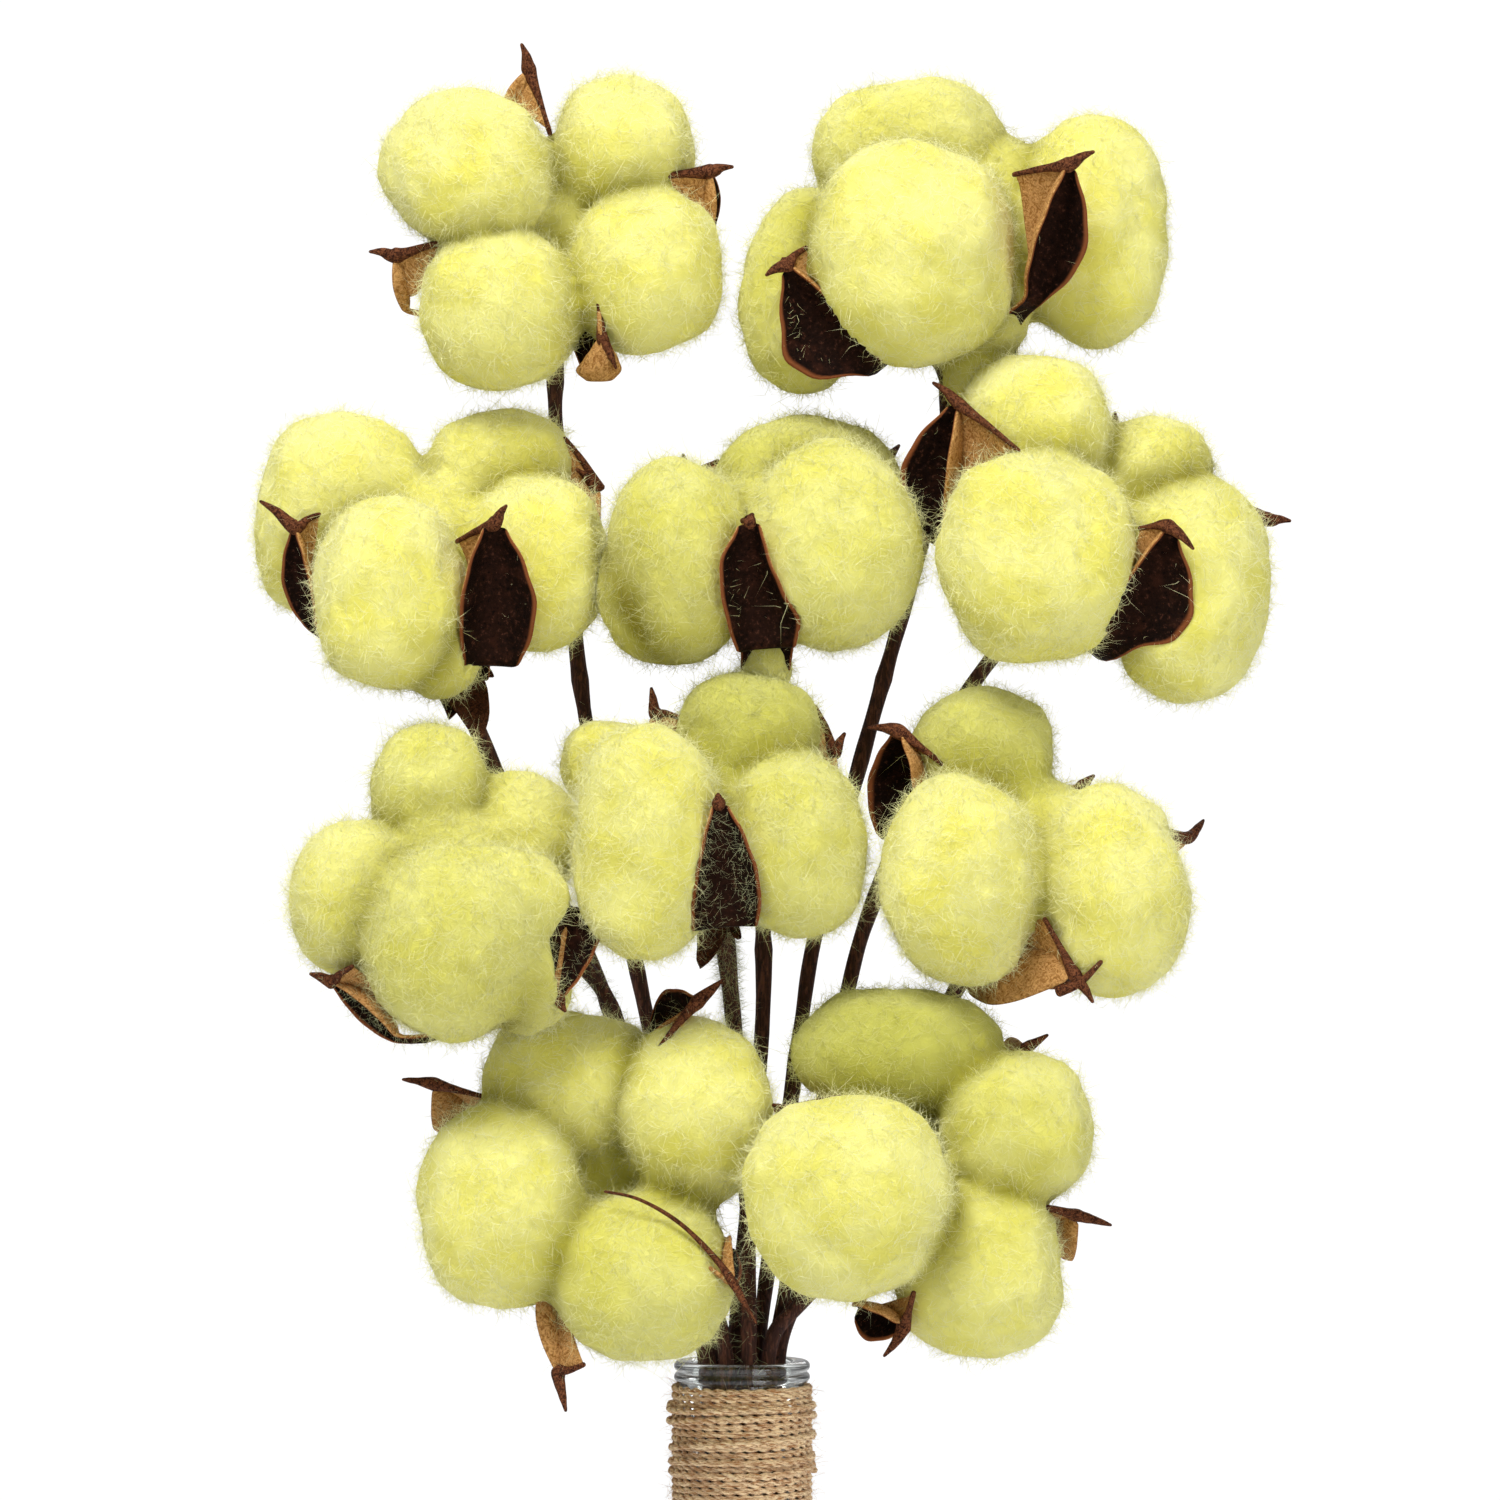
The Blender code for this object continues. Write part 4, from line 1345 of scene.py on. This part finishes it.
def build_beak(valve, rng):
    """The woody bar along the septum's top, and the blunt beak at its end."""
    path, neck_index = valve.bar_path()
    last = len(path) - 1
    slender = 0.65 if valve.path else 1.0
    widths, heights = [], []
    for index in range(last + 1):
        if index <= neck_index:
            share = index / neck_index
            width = 0.0005 + 0.001 * share**2
            height = 0.0006 + 0.0013 * share**3
        else:
            share = (index - neck_index) / (last - neck_index)
            width = 0.0015 - 0.0012 * share
            height = 0.0019 - 0.0016 * share**0.8
        widths.append(width * slender * rng.uniform(0.9, 1.1))
        heights.append(height * slender * rng.uniform(0.92, 1.08))
    item = tube_object("valve_beak", path, widths, across=valve.across, heights=heights)
    mark(item, beak=1.0)
    return item


def build_cup(core, base, radius, stem_radius):
    """The round base of the burr, with the swollen top of the stem under it."""
    side = base.orthogonal().normalized()
    profile = [
        (0.0, radius - 0.002),
        (0.006, radius - 0.003),
        (0.0084, radius - 0.005),
        (0.009, radius - 0.0042),
        (0.007, radius - 0.0012),
        (0.0046, radius + 0.0006),
        (0.0029, radius + 0.0026),
        (stem_radius * 1.25, radius + 0.006),
        (stem_radius * 0.8, radius + 0.008),
        (0.0, radius + 0.0082),
    ]
    points = []
    for out, along in profile:
        for corner in range(CUP_SIDES):
            turned = Matrix.Rotation(2.0 * math.pi * corner / CUP_SIDES, 3, base) @ side
            points.append(core + base * along + turned * out)
    item = mesh_object("burr_cup", points, ring_faces(len(profile), CUP_SIDES))
    weld(item, 0.01 * MM, outward=True)
    mark(item, edge=0.4, beak=0.35)
    return item


def build_scrap(start, heading, length, rng):
    """A dry, curled scrap of bract hanging from the burr."""
    heading = heading.normalized()
    across = heading.cross(Vector((0.3, -1.0, 0.2))).normalized()
    away = across.cross(heading)
    grid = []
    for row in range(7):
        share = row / 6.0
        width = length * 0.2 * (math.sin(math.pi * (0.16 + 0.84 * share)) + 0.08)
        curl = away * (length * 0.28 * share**2)
        middle = start + heading * (length * share) + curl
        fold = [
            middle + across * (width * side) + away * (width * 0.7 * side**2)
            for side in (-1.0, -0.4, 0.3, 1.0)
        ]
        grid.append([point + Vector(rng.normal(0.0, length * 0.02, 3)) for point in fold])
    item = sheet_object("bract_scrap", grid)
    thicken(item, 0.0005)
    mark(item, edge=0.55, beak=0.5)
    return item


def search_tree(item):
    """A tree of an object's faces, for rays to meet."""
    polygons = [tuple(polygon.vertices) for polygon in item.data.polygons]
    return BVHTree.FromPolygons([vertex.co for vertex in item.data.vertices], polygons)


def press_cotton(fill, core, walls):
    """Press the cotton in under the blades, and note where it is covered."""
    points, faces = [], []
    for grid in walls:
        faces += grid_faces(len(grid), len(grid[0]), len(points))
        points += [point for row in grid for point in row]
    tree = BVHTree.FromPolygons(points, faces)
    covered = np.zeros(len(fill.data.vertices))
    for vertex in fill.data.vertices:
        reach = vertex.co - core
        distance = reach.length
        heading = reach / distance
        hit = tree.ray_cast(core + heading * 0.004, heading)[0]
        if hit is None:
            continue
        limit = (hit - core).length - PRESS_GAP
        if limit < distance + 0.002:
            covered[vertex.index] = 1.0
        if limit < distance < limit + PRESS_DEPTH:
            vertex.co = core + heading * limit
    write_attribute(fill.data, "covered", covered)


def build_burr(number, boll, settings, stem_radius):
    """One dried seed case: cup, walls, septums, beaks and scraps joined as one piece."""
    rng = np.random.default_rng(300 + number)
    core = Vector(boll["core"]) * MM
    base = Vector(boll["base"]).normalized()
    fill = bpy.data.objects[f"cotton_fill_{number:02d}"]
    tree = search_tree(fill)
    valves = [Valve(tree, core, base, entry) for entry in boll["valves"]]
    parts = []
    for valve in valves:
        parts.append(build_wall(valve, settings.thickness))
        parts.append(build_septum(valve, settings.thickness))
        parts.append(build_beak(valve, rng))
        if valve.prong:
            path = catmull_rom(valve.prong, BAR_STEPS)
            widths = np.linspace(0.0013, 0.0005, len(path))
            parts.append(tube_object("valve_prong", path, widths))
            mark(parts[-1], beak=1.0)
    radius = surface_radius(tree, core, base)
    parts.append(build_cup(core, base, radius, stem_radius))
    for heading, length in boll["scraps"]:
        heading = Vector(heading)
        start = core + base * (radius + 0.002) + heading.normalized() * 0.002
        parts.append(build_scrap(start, heading, length * MM, rng))
    item = join(parts, f"burr_case_{number:02d}")
    smooth = item.modifiers.new("smooth", "SUBSURF")
    smooth.levels = 1
    smooth.render_levels = 1
    apply_modifiers(item)
    bpy.ops.object.shade_smooth()
    press_cotton(fill, core, [valve.blade_rows() for valve in valves])
    return item


def build_lint(number, boll, burr):
    """Cotton fibres caught on the outside of one burr."""
    rng = np.random.default_rng(500 + number)
    count = boll["lint"]
    edge = np.empty(len(burr.data.vertices), dtype=np.float32)
    burr.data.attributes["edge"].data.foreach_get("value", edge)
    roots, normals, _corners = surface_samples(burr.data, count, rng, 0.2 + edge**3)
    lengths = 0.0026 * np.exp(rng.normal(0.0, 0.4, count))
    lifts = rng.uniform(0.15, 0.7, count)
    return fibre_object(
        f"burr_lint_{number:02d}", roots, normals, lengths, lifts, BURR_LINT_WIDTH, rng
    )


class COTTONBUNCH_OT_burrs(bpy.types.Operator):
    """Build the ten dried burrs and the lint on them"""

    bl_idname = "cotton_bunch.burrs"
    bl_label = "Burrs"

    def execute(self, context):
        settings = context.scene.bunch_burr
        case = burr_material(settings)
        lint = lint_material(settings)
        stem_radius = context.scene.bunch_stem.radius
        for number, boll in enumerate(BOLLS, start=1):
            burr = build_burr(number, boll, settings, stem_radius)
            finish_piece(burr, case, [f"burr_{number:02d}"])
            finish_piece(build_lint(number, boll, burr), lint)
        return {"FINISHED"}


class COTTONBUNCH_OT_fibres(bpy.types.Operator):
    """Build the loose fibres on the ten bolls"""

    bl_idname = "cotton_bunch.fibres"
    bl_label = "Loose fibres"

    def execute(self, context):
        settings = context.scene.bunch_cotton
        loose = fibre_material(settings)
        for number in range(1, len(BOLLS) + 1):
            fill = bpy.data.objects[f"cotton_fill_{number:02d}"]
            finish_piece(build_fuzz(number, fill, settings), loose)
        return {"FINISHED"}


# ---- stems ---------------------------------------------------------------------------------------

# How unevenly a stem swells along its length: the share of its radius, and radians for a metre.
RIPPLES = ((0.05, 190.0), (0.04, 410.0))
SCAR_COUNT = 5
SCAR_LENGTH = 0.0022
TOP_LENGTH = 0.012


def ring_point(slot, radius, height):
    """A stem's place at this height, in its own slot round the vase's axis."""
    angle = math.radians(STEM_FIRST_ANGLE + slot * 360.0 / STEM_COUNT)
    return Vector((radius * math.cos(angle), radius * math.sin(angle), height))


def stem_path(boll, cup_radius):
    """The stem's centre line in metres, from the vase's floor to the burr."""
    slot = boll["slot"]
    base = Vector(boll["base"]).normalized()
    end = Vector(boll["core"]) + base * (cup_radius / MM + 5.0)
    foot = ring_point(slot, STEM_FOOT_RING, STEM_FOOT_HEIGHT)
    gather = ring_point(slot, STEM_RING, STEM_GATHER_HEIGHT)
    rise = ring_point(slot, STEM_RING, STEM_EXIT_HEIGHT - STEM_LAST_RISE)
    leave = ring_point(slot, STEM_RING, STEM_EXIT_HEIGHT)
    knots = [foot, foot.lerp(gather, 0.5), foot.lerp(gather, 0.92), gather + Vector((0, 0, 12))]
    knots += [rise, leave, *(Vector(point) for point in boll["route"]), end]
    return [point * MM for point in catmull_rom(knots, 12)]


def build_stem(number, boll, settings):
    """One stem: a bark-covered twig with a few scars, swelling under the burr."""
    rng = np.random.default_rng(700 + number)
    core = Vector(boll["core"]) * MM
    base = Vector(boll["base"]).normalized()
    fill = bpy.data.objects[f"cotton_fill_{number:02d}"]
    cup_radius = surface_radius(search_tree(fill), core, base)
    path = stem_path(boll, cup_radius)
    walk = np.cumsum([0.0] + [(b - a).length for a, b in zip(path, path[1:])])
    total = walk[-1]
    scars = rng.uniform(0.25, 0.95, SCAR_COUNT) * total
    phases = rng.uniform(0.0, 6.28, len(RIPPLES))
    widths = []
    for place in walk:
        swell = sum(math.exp(-((place - scar) / SCAR_LENGTH) ** 2) for scar in scars)
        ripple = sum(
            depth * math.sin(place * rate + phase) for (depth, rate), phase in zip(RIPPLES, phases)
        )
        top = math.exp(-((total - place) / TOP_LENGTH) ** 2)
        widths.append(settings.radius * (1.0 + ripple + 0.16 * swell + 0.35 * top))
    item = tube_object(f"stem_bark_{number:02d}", path, widths, sides=12)
    select_only(item)
    bpy.ops.object.shade_smooth()
    return item


def build_stem_lint(number, stem, boll):
    """Fibres caught on the top of one stem."""
    rng = np.random.default_rng(900 + number)
    points = read_points(stem.data)
    top = np.array(stem.bound_box)[:, 2].max()
    weights = np.exp(-(top - points[:, 2]) / 0.03) + 0.05 * (points[:, 2] > 0.225)
    count = boll["lint"] // 2
    roots, normals, _corners = surface_samples(stem.data, count, rng, weights)
    lengths = 0.0022 * np.exp(rng.normal(0.0, 0.4, count))
    lifts = rng.uniform(0.2, 0.8, count)
    return fibre_object(
        f"stem_lint_{number:02d}", roots, normals, lengths, lifts, STEM_LINT_WIDTH, rng
    )


class COTTONBUNCH_OT_stems(bpy.types.Operator):
    """Build the ten stems and the lint on them"""

    bl_idname = "cotton_bunch.stems"
    bl_label = "Stems"

    def execute(self, context):
        settings = context.scene.bunch_stem
        bark = bark_material(settings)
        lint = bpy.data.materials["caught_cotton_lint"]
        for number, boll in enumerate(BOLLS, start=1):
            stem = build_stem(number, boll, settings)
            finish_piece(stem, bark, [f"stem_{number:02d}"])
            finish_piece(build_stem_lint(number, stem, boll), lint)
        return {"FINISHED"}


# ---- jute ----------------------------------------------------------------------------------------

# Shares of a ply's radius: how far each ply lies from the twine's middle, as the two are squeezed
# together, and the twine's own radius.
PLY_OFFSET = 0.82
TWINE_SHARE = 1.8


def wound_path(low, high, pitch, radius, step, wobble, rng):
    """The twine's centre line: a helix with small, smooth slips up, down and outwards."""
    turns = (high - low) / pitch + 2.0
    count = int(turns * 2.0 * math.pi * radius / step)
    angle = np.linspace(0.0, turns * 2.0 * math.pi, count)
    height = np.linspace(low - pitch, high + pitch, count)
    slip = np.zeros(count)
    out = np.zeros(count)
    for wave in range(1, 7):
        slip += np.sin(angle * wave * 0.37 + rng.uniform(0.0, 6.28)) * rng.normal(0.0, 1.0) / wave
        out += np.sin(angle * wave * 0.53 + rng.uniform(0.0, 6.28)) * rng.normal(0.0, 1.0) / wave
    height = np.clip(height + slip * wobble, low, high)
    reach = radius + np.abs(out) * wobble * 0.5
    return np.stack((reach * np.cos(angle), reach * np.sin(angle), height), axis=1)


def ply_object(name, centre, settings, phase):
    """One ply, twisted round the twine's centre line."""
    ahead = unit(np.gradient(centre, axis=0))
    out = unit(centre * np.array((1.0, 1.0, 0.0)))
    up = np.cross(ahead, out)
    steps = np.linalg.norm(np.diff(centre, axis=0), axis=1)
    walk = np.concatenate(([0.0], np.cumsum(steps)))
    twist = (walk / settings.lay * 2.0 * math.pi + phase)[:, None]
    offset = (out * np.cos(twist) + up * np.sin(twist)) * settings.ply_radius * PLY_OFFSET
    points = centre + offset
    curve = bpy.data.curves.new(name, "CURVE")
    curve.dimensions = "3D"
    curve.bevel_depth = settings.ply_radius
    curve.bevel_resolution = 1
    curve.use_fill_caps = True
    spline = curve.splines.new("POLY")
    spline.points.add(len(points) - 1)
    flat = np.concatenate((points, np.ones((len(points), 1))), axis=1)
    spline.points.foreach_set("co", flat.astype(np.float32).ravel())
    select_only(new_object(name, curve))
    bpy.ops.object.convert(target="MESH")
    item = bpy.context.object
    weld(item, 0.001 * MM)
    bpy.ops.object.shade_smooth()
    return item


class COTTONBUNCH_OT_jute(bpy.types.Operator):
    """Wind the two-ply jute twine round the bottle's neck"""

    bl_idname = "cotton_bunch.jute"
    bl_label = "Jute twine"

    def execute(self, context):
        settings = context.scene.bunch_jute
        rng = np.random.default_rng(41)
        low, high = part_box("jute_wrap")
        twine_radius = settings.ply_radius * TWINE_SHARE
        wound_radius = NECK_RADIUS * MM + twine_radius + 0.0001
        step = settings.lay / 8.0
        main_wind = wound_path(
            low[2] + twine_radius,
            high[2] - twine_radius * 0.6,
            settings.pitch,
            wound_radius,
            step,
            0.00008,
            rng,
        )
        over_wind = wound_path(
            high[2] - 0.017,
            high[2] - 0.004,
            settings.pitch * 2.6,
            wound_radius + twine_radius * 0.75,
            step,
            0.0011,
            rng,
        )
        layers = []
        for name, centre in (("wind", main_wind), ("over", over_wind)):
            for ply, phase in enumerate((0.0, math.pi)):
                layers.append(ply_object(f"jute_{name}_{ply}", centre, settings, phase))
        fibre = jute_material(settings)
        main_piece = join(layers[:2], "jute_twine")
        finish_piece(main_piece, fibre, ["jute_wrap"])
        over_piece = join(layers[2:], "jute_over_turns")
        finish_piece(over_piece, fibre)
        count = JUTE_HAIR_COUNT
        roots, normals, _corners = surface_samples(main_piece.data, count, rng)
        lengths = 0.0034 * np.exp(rng.normal(0.0, 0.45, count))
        lifts = rng.uniform(0.05, 0.5, count)
        hair = fibre_object("jute_hairs", roots, normals, lengths, lifts, JUTE_HAIR_WIDTH, rng)
        finish_piece(hair, fibre)
        return {"FINISHED"}


# ---- glass ---------------------------------------------------------------------------------------


def arc(centre, radius, start, end, steps):
    """Points on an arc in the turning plane, angles in degrees."""
    points = []
    for step in range(steps + 1):
        angle = math.radians(start + (end - start) * step / steps)
        points.append((centre[0] + radius * math.cos(angle), centre[1] + radius * math.sin(angle)))
    return points


def shoulder(inset, steps):
    """Points down the shoulder, from the neck to the body, moved inwards by inset."""
    points = []
    for step in range(steps + 1):
        share = step / steps
        blend = (1.0 - math.cos(math.pi * share)) / 2.0
        radius = NECK_RADIUS - inset + (BODY_RADIUS - NECK_RADIUS) * blend
        points.append((radius, NECK_BOTTOM + (BODY_TOP - NECK_BOTTOM) * share))
    return points


def bottle_profile():
    """Radius and height in millimetres, from the inner floor over the lip to the base."""
    neck_inset = NECK_RADIUS - BORE_RADIUS
    bead = LIP_HEIGHT / 4.0
    upper = VASE_HEIGHT - bead
    lower = VASE_HEIGHT - 3.0 * bead
    inner_body = BODY_RADIUS - neck_inset
    profile = [(0.0, FLOOR), (BASE_RADIUS * 0.5, FLOOR)]
    profile += arc((inner_body - HEEL, FLOOR + HEEL), HEEL, -90.0, 0.0, 6)
    profile += list(reversed(shoulder(neck_inset, 24)))
    profile += [(BORE_RADIUS, VASE_HEIGHT - 2.0)]
    profile += arc((BORE_RADIUS + 1.2, VASE_HEIGHT - 1.2), 1.2, 180.0, 90.0, 5)
    profile += arc((LIP_RADIUS - bead, upper), bead, 90.0, -60.0, 8)
    profile += arc((LIP_RADIUS - bead, lower), bead, 60.0, -90.0, 8)
    profile += shoulder(0.0, 24)
    profile += arc((BODY_RADIUS - HEEL, HEEL), HEEL, 0.0, -70.0, 6)
    profile += [(BASE_RADIUS - 2.0, 0.0), (BASE_RADIUS * 0.5, 0.0), (0.0, 0.0)]
    return profile


class COTTONBUNCH_OT_bottle(bpy.types.Operator):
    """Turn the clear glass bottle"""

    bl_idname = "cotton_bunch.bottle"
    bl_label = "Glass bottle"

    def execute(self, context):
        points = [(radius * MM, 0.0, height * MM) for radius, height in bottle_profile()]
        outline = [(index, index + 1) for index in range(len(points) - 1)]
        item = mesh_object("bottle_glass", points, [], outline)
        select_only(item)
        bpy.ops.object.mode_set(mode="EDIT")
        bpy.ops.mesh.select_all(action="SELECT")
        bpy.ops.mesh.spin(
            steps=96, angle=2.0 * math.pi, center=(0.0, 0.0, 0.0), axis=(0.0, 0.0, 1.0)
        )
        bpy.ops.object.mode_set(mode="OBJECT")
        weld(item, 0.01 * MM, outward=True)
        bpy.ops.object.shade_smooth()
        glass = glass_material(context.scene.bunch_glass)
        finish_piece(item, glass, ["glass_vase"])
        return {"FINISHED"}


# ---- stage ---------------------------------------------------------------------------------------


def add_area_light(name, place, size, power):
    """A round soft light, turned to the bunch; its size is in metres and its power in watts."""
    light = bpy.data.lights.new(name, "AREA")
    light.shape = "DISK"
    light.size = size
    light.energy = power
    item = new_object(name, light)
    item.location = place
    item.rotation_euler = (Vector(LIGHT_TARGET) - Vector(place)).to_track_quat("-Z", "Y").to_euler()


# The front camera's place, the floor's radius and where the lights point, in metres.
CAMERA_PLACE = (0.0016, -1.5, 0.342)
FLOOR_RADIUS = 1.6
LIGHT_TARGET = (0.0, 0.0, 0.34)


class COTTONBUNCH_OT_stage(bpy.types.Operator):
    """Set the camera, the floor and soft studio light"""

    bl_idname = "cotton_bunch.stage"
    bl_label = "Stage"

    def execute(self, context):
        scene = context.scene
        camera = bpy.data.cameras.new("front_camera")
        camera.lens = 180.0
        camera.sensor_width = 36.0
        camera.clip_end = 20.0
        item = new_object("front_camera", camera)
        item.location = CAMERA_PLACE
        item.rotation_euler = (math.radians(90.0), 0.0, 0.0)
        scene.camera = item
        deselect()
        bpy.ops.mesh.primitive_circle_add(vertices=128, radius=FLOOR_RADIUS, fill_type="NGON")
        floor = context.object
        floor.name = "pale_floor"
        paint, _tree, shader = new_material("pale_matt_floor")
        shader.inputs["Base Color"].default_value = (0.86, 0.86, 0.86, 1.0)
        shader.inputs["Roughness"].default_value = 0.9
        floor.data.materials.append(paint)
        world = bpy.data.worlds.new("white_studio")
        world.use_nodes = True
        tree = world.node_tree
        sky = tree.nodes["Background"]
        heading = add_node(tree, PLACE, {}).outputs["Generated"]
        sideways = add_node(
            tree, "ShaderNodeVectorMath", {0: heading, 1: (1.0, 0.0, 0.0)}, operation="DOT_PRODUCT"
        )
        away = add_node(tree, MATH, {0: sideways.outputs["Value"]}, operation="ABSOLUTE")
        sides = add_node(tree, RANGE, {"Value": away.outputs[0], 1: 0.35, 2: 0.9}, **SOFT)
        grey = add_node(
            tree, MIX, {0: sides.outputs[0], 6: linear("#FFFFFF"), 7: linear("#C4C4C4")}, **COLOUR
        )
        tree.links.new(grey.outputs[2], sky.inputs["Color"])
        sky.inputs["Strength"].default_value = 0.44
        white = {"Color": linear("#FFFFFF"), "Strength": 1.05}
        backdrop = add_node(tree, "ShaderNodeBackground", white)
        path = add_node(tree, "ShaderNodeLightPath", {})
        chosen = add_node(
            tree,
            "ShaderNodeMixShader",
            {
                0: path.outputs["Is Camera Ray"],
                1: sky.outputs["Background"],
                2: backdrop.outputs["Background"],
            },
        )
        tree.links.new(chosen.outputs["Shader"], tree.nodes["World Output"].inputs["Surface"])
        scene.world = world
        scene.view_settings.view_transform = "Standard"
        add_area_light("key_light", (-0.4, -0.8, 1.6), 0.7, 26.0)
        add_area_light("fill_light", (0.9, -1.2, 0.6), 1.0, 8.0)
        add_area_light("back_light", (0.3, 1.3, 1.0), 0.9, 5.0)
        return {"FINISHED"}


# ---- the add-on ----------------------------------------------------------------------------------

STEPS = (
    COTTONBUNCH_OT_stage,
    COTTONBUNCH_OT_cotton,
    COTTONBUNCH_OT_burrs,
    COTTONBUNCH_OT_fibres,
    COTTONBUNCH_OT_stems,
    COTTONBUNCH_OT_jute,
    COTTONBUNCH_OT_bottle,
)

SETTINGS = {
    "bunch_cotton": CottonSettings,
    "bunch_burr": BurrSettings,
    "bunch_stem": StemSettings,
    "bunch_jute": JuteSettings,
    "bunch_glass": GlassSettings,
}


class COTTONBUNCH_PT_panel(bpy.types.Panel):
    """Lists the steps and the settings"""

    bl_idname = "COTTONBUNCH_PT_panel"
    bl_label = "Cotton Bunch"
    bl_space_type = "VIEW_3D"
    bl_region_type = "UI"
    bl_category = SIDEBAR_TAB

    def draw(self, context):
        for step in STEPS:
            self.layout.operator(step.bl_idname)
        for name, group in SETTINGS.items():
            box = self.layout.box()
            for setting in group.__annotations__:
                box.prop(getattr(context.scene, name), setting)


CLASSES = (*SETTINGS.values(), *STEPS, COTTONBUNCH_PT_panel)


def register():
    """Add the settings, the steps and the panel to Blender."""
    for item in CLASSES:
        bpy.utils.register_class(item)
    for name, group in SETTINGS.items():
        setattr(bpy.types.Scene, name, PointerProperty(type=group))


def unregister():
    """Take them away again."""
    for name in SETTINGS:
        delattr(bpy.types.Scene, name)
    for item in reversed(CLASSES):
        bpy.utils.unregister_class(item)


def main():
    """Build every step."""
    register()
    for step in STEPS:
        group, name = step.bl_idname.split(".")
        getattr(getattr(bpy.ops, group), name)()


if __name__ == "__main__":
    main()
